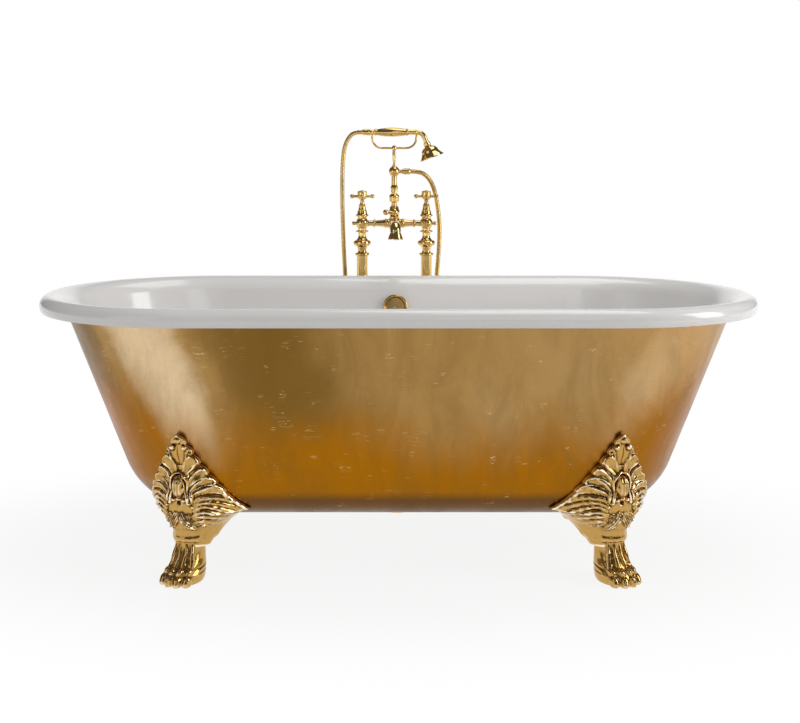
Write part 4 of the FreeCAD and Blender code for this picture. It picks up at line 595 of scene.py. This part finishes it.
clawFoot = {
    # millimetres, from the leg's middle: u across, w forward and z up
    "legX": 463, "legY": 218, "bathY": -54, "turn": 22, "columns": 151, "rows": 191, "rowsBelowTip": 0.3,
    "low": 78, "tip": 154, "top": 330, "thickness": 13, "thinnest": 1.5, "wallGap": 0.8, "edgeGap": 2.4,
    "scallops": 6, "scallopLow": 198, "scallopDepth": 6.0,
    # grid of rays that find the wall: number each way, half width, heights, and start in front of the leg
    "raySteps": 29, "rayAcross": 140, "rayHeights": (130.5, 330), "rayStart": 300,
    # heights where the wall starts, where the plate thickens and where its back has come to the wall
    "wallFrom": 129, "thickenFrom": 126, "thickenOver": 14, "wallReached": 143,
    # width over which plate and calf melt together, width and drop of the rounded edge, hollow of the back
    "meltWidth": 8.0, "edgeWidth": 5, "edgeDrop": 2.5, "edgeCarving": 0.35, "underGap": 2, "underHollow": 12,
    # height, half width, forward at the edge, forward in the middle, and how square the section is
    "outline": [(78, 42, -6, 29, 0.5), (88, 46, -14, 33, 0.5), (90, 48, -22, 39, 0.5),
                (94, 50, -31, 43, 0.5), (99, 51, -37, 43, 0.5), (104, 53, -45, 41, 0.5),
                (112, 57, -60, 42, 0.5), (118, 61, -68, 43, 0.5), (131, 76, -78, 49, 0.55),
                (142, 94, -70, 53, 0.75), (148, 102, -55, 54, 0.9), (151, 112, -50, 54, 0.95),
                (154, 122, -47, 54, 1), (160, 118, -40, 54, 1), (179, 104, -20, 54, 1), (206, 85, 0, 54, 1),
                (239, 62, 14, 53, 1), (262, 46, 22, 44, 1), (330, 5, 20, 20, 1)],
    # kind, start, bend, end, half width, height
    "leaves": [
        ("spoon", (12, 239), (13, 258), (33, 275), 15.0, 12.5),
        ("spoon", (24, 221), (40, 251), (68, 244), 14.0, 13.0),
        ("spoon", (29, 208), (54, 236), (83, 224), 11.5, 12.5),
        ("spoon", (36, 200), (68, 215), (98, 203), 10.5, 11.5),
        ("frond", (40, 185), (64, 207), (117, 166), 8.2, 9.5),
        ("frond", (38, 176), (60, 196), (110, 157), 7.4, 9.5),
        ("frond", (38, 165), (58, 188), (99, 149), 7.2, 9.5),
        ("frond", (36, 154), (54, 176), (86, 141), 7.0, 9.0),
        ("frond", (34, 144), (50, 161), (73, 132), 6.6, 8.0),
        ("frond", (33, 135), (44, 147), (60, 123), 6.2, 7.0),
        ("ribbed", (7, 154), (16, 137), (30, 121), 12.0, 10.5),
        ("ribbed", (23, 152), (36, 138), (49, 125), 10.5, 9.5),
        ("frond", (17, 208), (23, 192), (21, 178), 4.4, 8.0),
        ("frond", (27, 204), (32, 192), (30, 181), 4.2, 8.0),
        ("frond", (18, 242), (24, 224), (20, 206), 3.6, 7.0),
        ("frond", (0, 247), (17, 246), (21, 222), 3.6, 10.5),
        ("frond", (8, 248), (16, 268), (22, 298), 3.8, 8.0),
        ("lip", (120, 157), (107, 172), (86, 198), 5.5, 6.0),
    ],
    # spoons: width at the stem, where they are full, where the rim falls and over how much, and their hollow
    "spoonStem": 0.32, "spoonFull": 0.7, "rimFrom": 0.62, "rimFall": 0.40, "spoonHollow": 0.60,
    # fronds: how much they narrow, and the part of a half wave that they rise and fall along
    "frondNarrows": 0.38, "frondFrom": 0.12, "frondSpan": 0.82,
    # ribbed leaves: the same part of a wave, ribs in a half width, and the ribs' depth
    "ribbedFrom": 0.2, "ribbedSpan": 0.75, "leafRibs": 2.5, "leafRibDepth": 0.28,
    # middle, half width, half height, rise; the first is the egg, with upright ribs
    "beads": [((0, 217), 16, 25, 16.0), ((0, 317), 8, 7, 6.0), ((14, 301), 6, 6, 5.5), ((27, 287), 6, 6, 4.5),
              ((13, 187), 5.5, 4.5, 6.5), ((24, 180), 5, 4.5, 6.0), ((33, 173), 4.5, 4.5, 5.5),
              ((0, 190), 8, 4, 6.0), ((109, 178), 5, 4, 4.5), ((95, 195), 5, 5, 5.0), ((80, 210), 5, 5, 5.0),
              ((66, 230), 5, 5, 4.5), ((52, 251), 5, 5, 4.5), ((40, 268), 5, 5, 4.0)],
    "eggRibDepth": 0.07, "eggRibWidth": 7.5,
    # hole: middle, radius and depth, and how much flatter than round it is
    "hole": (0, 180, 5.5, 6.0), "holeSquash": 1.35,
    # fan: middle, reach from and to, half angle in degrees, flutes, and the rise that hides it
    "fanMiddle": (0, 240), "fanReach": (22, 72), "fanSpread": 24, "flutes": 5, "fluteRise": 1.3,
    "fanHollow": 3.2, "fanBelow": 1.5,
    # height, half width, half depth, middle forward
    "paw": [(0, 38, 47, 16), (8, 42, 52, 18), (20, 43, 53, 18), (34, 39.5, 47, 12), (50, 33, 39, 5),
            (70, 30, 34.5, 1), (90, 30.5, 34, 0), (108, 31.5, 34.5, 0)],
    "pawSides": 64, "pawSteps": 40, "pawLean": -6, "leanBetween": (8, 62),
    "toes": [-29, -10, 9.5, 28], "toeForward": [54, 64, 64, 55],
    # rounds of a toe: share of its place across, forward of it, height, and half sizes
    "toeRounds": [(1, 0, 12, (10.4, 15, 13.5)), (1.02, 9.5, 8.5, (7.6, 7, 8.2)),
                  (0.92, -10, 28, (8.6, 15, 10.5))],
    # sinew behind a toe, below and above: share of the toe's place across, forward, height and radius
    "sinewLow": (0.92, -13, 31, 6.6), "sinewHigh": (0.62, 26, 94, 3.8),
    "voxel": 1.5, "relaxFactor": 0.5, "relaxRounds": 4,
    # height and slope of each crease, their width and depth, and where on the paw's sides they fade
    "creases": [(36, -0.10), (25, -0.08)], "creaseWidth": 2.2, "creaseDepth": 1.5,
    "creaseAcross": (20, 34), "creaseFront": (-34, -22), "creaseBack": (-36, -18),
    # soft lumps of the casting: wave length and way of each wave, and the depth of all
    "waves": [(31, (0.8, 0.2, 0.55)), (23, (-0.5, 0.3, 0.8)), (17, (0.3, 0.6, -0.7)),
              (13, (0.9, -0.3, -0.3))],
    "waveDepth": 1.1, "waveFacing": (-0.1, 0.3), "waveAbove": (1, 8),
    "smoothAngle": 50,
    # height in metres that counts as a full ridge or groove, and rounds of smoothing to find it
    "reliefReach": 0.006, "reliefRounds": 14,
}


def leafHeights(across, height, leaf):
    kind, start, bend, end, width, rise = leaf
    run = np.linspace(0, 1, 48)[:, None]
    line = (1 - run) ** 2 * np.array(start) + 2 * run * (1 - run) * np.array(bend) + run ** 2 * np.array(end)
    way = np.gradient(line, axis=0)
    way /= np.linalg.norm(way, axis=1)[:, None]
    gapU, gapZ = across[:, None] - line[:, 0], height[:, None] - line[:, 1]
    nearest = np.argmin(gapU ** 2 + gapZ ** 2, axis=1)
    pick = np.arange(len(across))
    away = np.hypot(gapU[pick, nearest], gapZ[pick, nearest])
    lean = gapU[pick, nearest] * -way[nearest, 1] + gapZ[pick, nearest] * way[nearest, 0]
    part = run[nearest, 0]
    if kind == "spoon":
        stem, hollow = clawFoot["spoonStem"], clawFoot["spoonHollow"]
        span = width * (stem + (1 - stem) * np.clip(part / clawFoot["spoonFull"], 0, 1) ** 0.8)
        share = away / span
        edge = 1 - np.clip((share - clawFoot["rimFrom"]) / clawFoot["rimFall"], 0, 1) ** 2
        return rise * (0.5 + 0.5 * part) * (1 - hollow + hollow * np.clip(share, 0, 1) ** 2) * edge
    if kind == "frond":
        span = width * (1 - clawFoot["frondNarrows"] * part)
        share = np.clip(away / span, 0, 1)
        swell = np.sin(math.pi * (clawFoot["frondFrom"] + clawFoot["frondSpan"] * part)) ** 0.6
        return rise * swell * (1 - share ** 2) ** 0.55
    if kind == "lip":
        share = np.clip(away / width, 0, 1)
        return rise * (1 - share ** 2) ** 0.5
    span = width * np.sin(math.pi * (clawFoot["ribbedFrom"] + clawFoot["ribbedSpan"] * part)) ** 0.7
    share = np.clip(away / span, 0, 1)
    depth = clawFoot["leafRibDepth"]
    ribs = 1 - depth + depth * np.cos(2 * math.pi * clawFoot["leafRibs"] * lean / width)
    return rise * (0.6 + 0.4 * part) * (1 - share ** 2) ** 0.5 * ribs


def carving(across, height):
    # height of the carving over the plain plate, the same on both halves
    wide = np.abs(across)
    rise = np.zeros_like(across)
    for leaf in clawFoot["leaves"]:
        rise = np.maximum(rise, leafHeights(wide, height, leaf))
    for number, ((middleU, middleZ), halfU, halfZ, lift) in enumerate(clawFoot["beads"]):
        share = np.hypot((wide - middleU) / halfU, (height - middleZ) / halfZ)
        dome = lift * np.sqrt(np.clip(1 - share ** 2, 0, 1))
        if number == 0:
            depth = clawFoot["eggRibDepth"]
            dome *= 1 - depth + depth * np.cos(across * 2 * math.pi / clawFoot["eggRibWidth"])
        rise = np.maximum(rise, dome)
    fanU, fanZ = clawFoot["fanMiddle"]
    nearest, farthest = clawFoot["fanReach"]
    angle = np.degrees(np.arctan2(across - fanU, np.maximum(height - fanZ, 1e-6)))
    reach = np.hypot(across - fanU, height - fanZ)
    inside = (height > fanZ) & (np.abs(angle) < clawFoot["fanSpread"])
    inside &= (reach > nearest) & (reach < farthest) & (rise < clawFoot["fanBelow"])
    # the spread of the fan is a quarter wave each way
    sweep = angle / clawFoot["fanSpread"] * math.pi / 2
    flute = clawFoot["fluteRise"] * np.cos(sweep * clawFoot["flutes"]) - clawFoot["fanHollow"] * np.cos(sweep)
    rise = np.where(inside, flute, rise)
    holeU, holeZ, holeRound, holeDepth = clawFoot["hole"]
    share = np.hypot(across - holeU, (height - holeZ) * clawFoot["holeSquash"]) / holeRound
    return rise - holeDepth * np.clip(1 - share ** 4, 0, 1)


def wallForward():
    # distance of the bath's wall in front of the leg's middle, on a coarse grid
    wall = nodes["tub_shell"]
    count = clawFoot["raySteps"]
    acrossSteps = np.linspace(-clawFoot["rayAcross"], clawFoot["rayAcross"], count)
    heightSteps = np.linspace(*clawFoot["rayHeights"], count)
    across, forward, middle = footFrame()
    found = np.zeros((count, count))
    for row, height in enumerate(heightSteps):
        for column, side in enumerate(acrossSteps):
            start = middle + across * side + forward * clawFoot["rayStart"] + Vector((0, 0, height))
            hit, spot = wall.ray_cast(start / 1000, -forward)[:2]
            found[row, column] = (spot * 1000 - middle).dot(forward) if hit else np.nan
    # where a ray passes the wall, its neighbours in the row stand in
    for row in range(count):
        good = ~np.isnan(found[row])
        found[row] = np.interp(acrossSteps, acrossSteps[good], found[row][good])
    return acrossSteps, heightSteps, found


def footFrame():
    turn = math.radians(clawFoot["turn"])
    across = Vector((math.cos(turn), -math.sin(turn), 0))
    forward = Vector((-math.sin(turn), -math.cos(turn), 0))
    return across, forward, Vector((-clawFoot["legX"], clawFoot["bathY"] - clawFoot["legY"], 0))


def fromGrid(steps, across, height):
    acrossSteps, heightSteps, found = steps
    last = clawFoot["raySteps"] - 1.001
    column = np.clip((across - acrossSteps[0]) / (acrossSteps[1] - acrossSteps[0]), 0, last)
    row = np.clip((height - heightSteps[0]) / (heightSteps[1] - heightSteps[0]), 0, last)
    left, low = column.astype(int), row.astype(int)
    right, up = column - left, row - low
    return ((found[low, left] * (1 - right) + found[low, left + 1] * right) * (1 - up)
            + (found[low + 1, left] * (1 - right) + found[low + 1, left + 1] * right) * up)


def fromTable(table, height, column):
    return np.interp(height, [row[0] for row in table], [row[column] for row in table])


def smoothStep(value, low, high):
    share = np.clip((value - low) / (high - low), 0, 1)
    return share * share * (3 - 2 * share)


def toWorld(across, forward, height):
    side, front, middle = footFrame()
    points = np.outer(across, side) + np.outer(forward, front) + np.array(middle)
    points[:, 2] += height
    return points / 1000


def leafPlate():
    columns, rows = clawFoot["columns"], clawFoot["rows"]
    low, tip, top = clawFoot["low"], clawFoot["tip"], clawFoot["top"]
    below = int(rows * clawFoot["rowsBelowTip"])
    lower, upper = np.linspace(low, tip, below, endpoint=False), np.linspace(tip, top, rows - below)
    height = np.concatenate((lower, upper))
    half = fromTable(clawFoot["outline"], height, 1)
    climb = np.clip((height - clawFoot["scallopLow"]) / (top - clawFoot["scallopLow"]), 0, 1)
    notch = np.abs(np.sin(math.pi * clawFoot["scallops"] * climb)) ** 0.7 - 0.4
    half = half + clawFoot["scallopDepth"] * notch * smoothStep(climb, 0, 0.06)
    share = np.linspace(-1, 1, columns)
    across = (half[:, None] * share[None, :]).ravel()
    height = np.repeat(height, columns)
    halfAll = np.repeat(half, columns)
    wall = fromGrid(wallForward(), across, height)
    side, middle, square = (fromTable(clawFoot["outline"], height, column) for column in (2, 3, 4))
    calf = side + (middle - side) * np.clip(1 - (across / halfAll) ** 2, 0, 1) ** square
    wallFrom = clawFoot["wallFrom"]
    thicken = np.clip((height - clawFoot["thickenFrom"]) / clawFoot["thickenOver"], 0.2, 1)
    # below the wall the plate is far behind the calf, so that the calf alone counts
    plate = np.where(height > wallFrom, wall + clawFoot["thickness"] * thicken, -200)
    soft = clawFoot["meltWidth"]
    blend = np.clip(0.5 + 0.5 * (plate - calf) / soft, 0, 1)
    front = calf * (1 - blend) + plate * blend + soft * blend * (1 - blend)
    edge = np.clip((halfAll - np.abs(across)) / clawFoot["edgeWidth"], 0, 1) ** 0.5
    carved = clawFoot["edgeCarving"] + (1 - clawFoot["edgeCarving"]) * edge
    front = front + carving(across, height) * carved - clawFoot["edgeDrop"] * (1 - edge)
    under = side - clawFoot["underGap"] - clawFoot["underHollow"] * (1 - (across / halfAll) ** 2)
    onWall = smoothStep(height, wallFrom, clawFoot["wallReached"])
    seat = wall + clawFoot["wallGap"] + clawFoot["edgeGap"] * (1 - edge)
    back = np.where(height > wallFrom, np.maximum(under * (1 - onWall) + seat * onWall, seat), under)
    back = np.minimum(back, front - clawFoot["thinnest"])
    points = np.concatenate((toWorld(across, front, height), toWorld(across, back, height)))
    bpy.ops.mesh.primitive_grid_add(x_subdivisions=columns - 1, y_subdivisions=rows - 1, size=1)
    plateObject = bpy.context.object
    bpy.ops.object.mode_set(mode="EDIT")
    bpy.ops.mesh.select_all(action="SELECT")
    bpy.ops.mesh.extrude_region_move(TRANSFORM_OT_translate={"value": (0, 0, -1)})
    bpy.ops.object.mode_set(mode="OBJECT")
    mesh = plateObject.data
    spots = np.array([vertex.co for vertex in mesh.vertices])
    column = np.rint((spots[:, 0] + 0.5) * (columns - 1)).astype(int)
    row = np.rint((spots[:, 1] + 0.5) * (rows - 1)).astype(int)
    layer = (spots[:, 2] < -0.5).astype(int)
    mesh.vertices.foreach_set("co", points[layer * columns * rows + row * columns + column].ravel())
    mesh.update()
    return plateObject


def softBall(middle, size):
    bpy.ops.mesh.primitive_uv_sphere_add(segments=24, ring_count=14, radius=1, location=(0, 0, 0))
    ball = bpy.context.object
    spots = np.array([vertex.co for vertex in ball.data.vertices]) * np.array(size) + np.array(middle)
    ball.data.vertices.foreach_set("co", spots.ravel())
    return ball


def taperRod(start, end, first, last):
    bpy.ops.mesh.primitive_cylinder_add(vertices=16, radius=1, depth=1, location=(0, 0, 0))
    rod = bpy.context.object
    spots = np.array([vertex.co for vertex in rod.data.vertices])
    start, end = np.array(start, float), np.array(end, float)
    way = (end - start) / np.linalg.norm(end - start)
    side = np.cross(way, (0, 1, 0))
    side /= np.linalg.norm(side)
    lift = np.cross(way, side)
    part = spots[:, 2:3] + 0.5
    wide = first + (last - first) * part
    placed = start + (end - start) * part + wide * (spots[:, 0:1] * side + spots[:, 1:2] * lift)
    rod.data.vertices.foreach_set("co", placed.ravel())
    return rod


def pawShape():
    pieces = []
    rings = clawFoot["paw"]
    bpy.ops.mesh.primitive_cylinder_add(vertices=clawFoot["pawSides"], radius=1, depth=1, location=(0, 0, 0))
    trunk = bpy.context.object
    bpy.ops.object.mode_set(mode="EDIT")
    for level in np.linspace(-0.5, 0.5, clawFoot["pawSteps"] + 1)[1:-1]:
        bpy.ops.mesh.select_all(action="SELECT")
        bpy.ops.mesh.bisect(plane_co=(0, 0, level), plane_no=(0, 0, 1))
    bpy.ops.object.mode_set(mode="OBJECT")
    spots = np.array([vertex.co for vertex in trunk.data.vertices])
    height = (spots[:, 2] + 0.5) * rings[-1][0]
    wide, deep, ahead = (fromTable(rings, height, column) for column in (1, 2, 3))
    trunk.data.vertices.foreach_set("co", np.stack((
        spots[:, 0] * wide, spots[:, 1] * deep + ahead, height), axis=1).ravel())
    pieces.append(trunk)
    for side, ahead in zip(clawFoot["toes"], clawFoot["toeForward"]):
        for share, further, up, size in clawFoot["toeRounds"]:
            pieces.append(softBall((side * share, ahead + further, up), size))
        share, further, up, first = clawFoot["sinewLow"]
        below = (side * share, ahead + further, up)
        share, further, up, last = clawFoot["sinewHigh"]
        pieces.append(taperRod(below, (side * share, further, up), first, last))
    bpy.ops.object.select_all(action="DESELECT")
    for piece in pieces:
        piece.select_set(True)
    bpy.context.view_layer.objects.active = trunk
    bpy.ops.object.join()
    remesh = trunk.modifiers.new("melt", "REMESH")
    remesh.mode = "VOXEL"
    remesh.voxel_size = clawFoot["voxel"]
    bpy.ops.object.modifier_apply(modifier="melt")
    relax = trunk.modifiers.new("relax", "SMOOTH")
    relax.factor = clawFoot["relaxFactor"]
    relax.iterations = clawFoot["relaxRounds"]
    bpy.ops.object.modifier_apply(modifier="relax")
    mesh = trunk.data
    spots = np.array([vertex.co for vertex in mesh.vertices])
    normals = np.array([vertex.normal for vertex in mesh.vertices])
    dent = np.zeros(len(spots))
    onSide = smoothStep(np.abs(spots[:, 0]), *clawFoot["creaseAcross"])
    onSide *= smoothStep(-spots[:, 1], *clawFoot["creaseFront"])
    onSide *= smoothStep(spots[:, 1], *clawFoot["creaseBack"])
    for middle, slope in clawFoot["creases"]:
        dent += np.exp(-((spots[:, 2] - middle - slope * spots[:, 1]) / clawFoot["creaseWidth"]) ** 2)
    spots -= normals * (dent * onSide * clawFoot["creaseDepth"])[:, None]
    spots[:, 2] = np.maximum(spots[:, 2], 0)
    spots[:, 0] += clawFoot["pawLean"] * (1 - smoothStep(spots[:, 2], *clawFoot["leanBetween"]))
    mesh.vertices.foreach_set("co", toWorld(spots[:, 0], spots[:, 1], spots[:, 2]).ravel())
    mesh.update()
    return trunk


def castLumps(piece):
    # soft lumps on all that faces outward, with the sole left flat
    mesh = piece.data
    front = np.array(footFrame()[1])
    spots = np.array([vertex.co for vertex in mesh.vertices]) * 1000
    normals = np.array([vertex.normal for vertex in mesh.vertices])
    lift = np.zeros(len(spots))
    for length, way in clawFoot["waves"]:
        lift += np.sin(2 * math.pi * spots @ np.array(way) / length) / len(clawFoot["waves"])
    shown = smoothStep(normals @ front, *clawFoot["waveFacing"])
    shown *= smoothStep(spots[:, 2], *clawFoot["waveAbove"])
    spots += normals * (clawFoot["waveDepth"] * lift * shown)[:, None]
    mesh.vertices.foreach_set("co", (spots / 1000).ravel())
    mesh.update()


def markRelief(piece, reach, rounds):
    # how far each point stands out of its surroundings, kept for the finish's painted shade and highlights: 0
    # in a groove, 1 on a ridge
    mesh = piece.data
    count = len(mesh.vertices)
    spots = np.empty(count * 3)
    mesh.vertices.foreach_get("co", spots)
    spots = spots.reshape(-1, 3)
    ends = np.empty(len(mesh.edges) * 2, dtype=int)
    mesh.edges.foreach_get("vertices", ends)
    first, second = ends.reshape(-1, 2).T
    links = np.bincount(first, minlength=count) + np.bincount(second, minlength=count)
    smooth = spots.copy()
    for turn in range(rounds):
        total = np.stack([np.bincount(first, smooth[second, axis], count)
                          + np.bincount(second, smooth[first, axis], count) for axis in range(3)], axis=1)
        smooth = 0.4 * smooth + 0.6 * total / np.maximum(links, 1)[:, None]
    normals = np.empty(count * 3)
    mesh.vertices.foreach_get("normal", normals)
    stands = ((spots - smooth) * normals.reshape(-1, 3)).sum(axis=1)
    layer = mesh.attributes.new("relief", "FLOAT", "POINT")
    layer.data.foreach_set("value", np.clip(0.5 + stands / reach, 0, 1).astype(np.float32))


def makeFeet():
    paw = pawShape()
    plate = leafPlate()
    bpy.ops.object.select_all(action="DESELECT")
    paw.select_set(True)
    plate.select_set(True)
    bpy.context.view_layer.objects.active = plate
    bpy.ops.object.join()
    foot = plate
    foot.name = "clawFoot"
    foot.matrix_world = Matrix.Identity(4)
    bpy.ops.object.mode_set(mode="EDIT")
    bpy.ops.mesh.select_all(action="SELECT")
    bpy.ops.mesh.normals_make_consistent(inside=False)
    bpy.ops.object.mode_set(mode="OBJECT")
    castLumps(foot)
    bpy.ops.object.shade_smooth_by_angle(angle=math.radians(clawFoot["smoothAngle"]))
    markRelief(foot, clawFoot["reliefReach"], clawFoot["reliefRounds"])
    foot.data.materials.clear()
    foot.data.materials.append(footGold)
    bathY = clawFoot["bathY"] / 1000
    for name, flipX, flipY in (("front_left", 1, 1), ("front_right", -1, 1),
                               ("back_left", 1, -1), ("back_right", -1, -1)):
        copy = foot.copy()
        copy.data = foot.data.copy()
        copy.name = "clawFoot." + name
        scene.collection.objects.link(copy)
        flip = Matrix(((flipX, 0, 0, 0), (0, flipY, 0, bathY * (1 - flipY)), (0, 0, 1, 0), (0, 0, 0, 1)))
        copy.data.transform(flip)
        if flipX * flipY < 0:
            copy.data.flip_normals()
        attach(copy, "root")
        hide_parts("foot_" + name)
    bpy.data.objects.remove(foot)
    bpy.ops.object.select_all(action="DESELECT")


makeFeet()
print("feet carved")
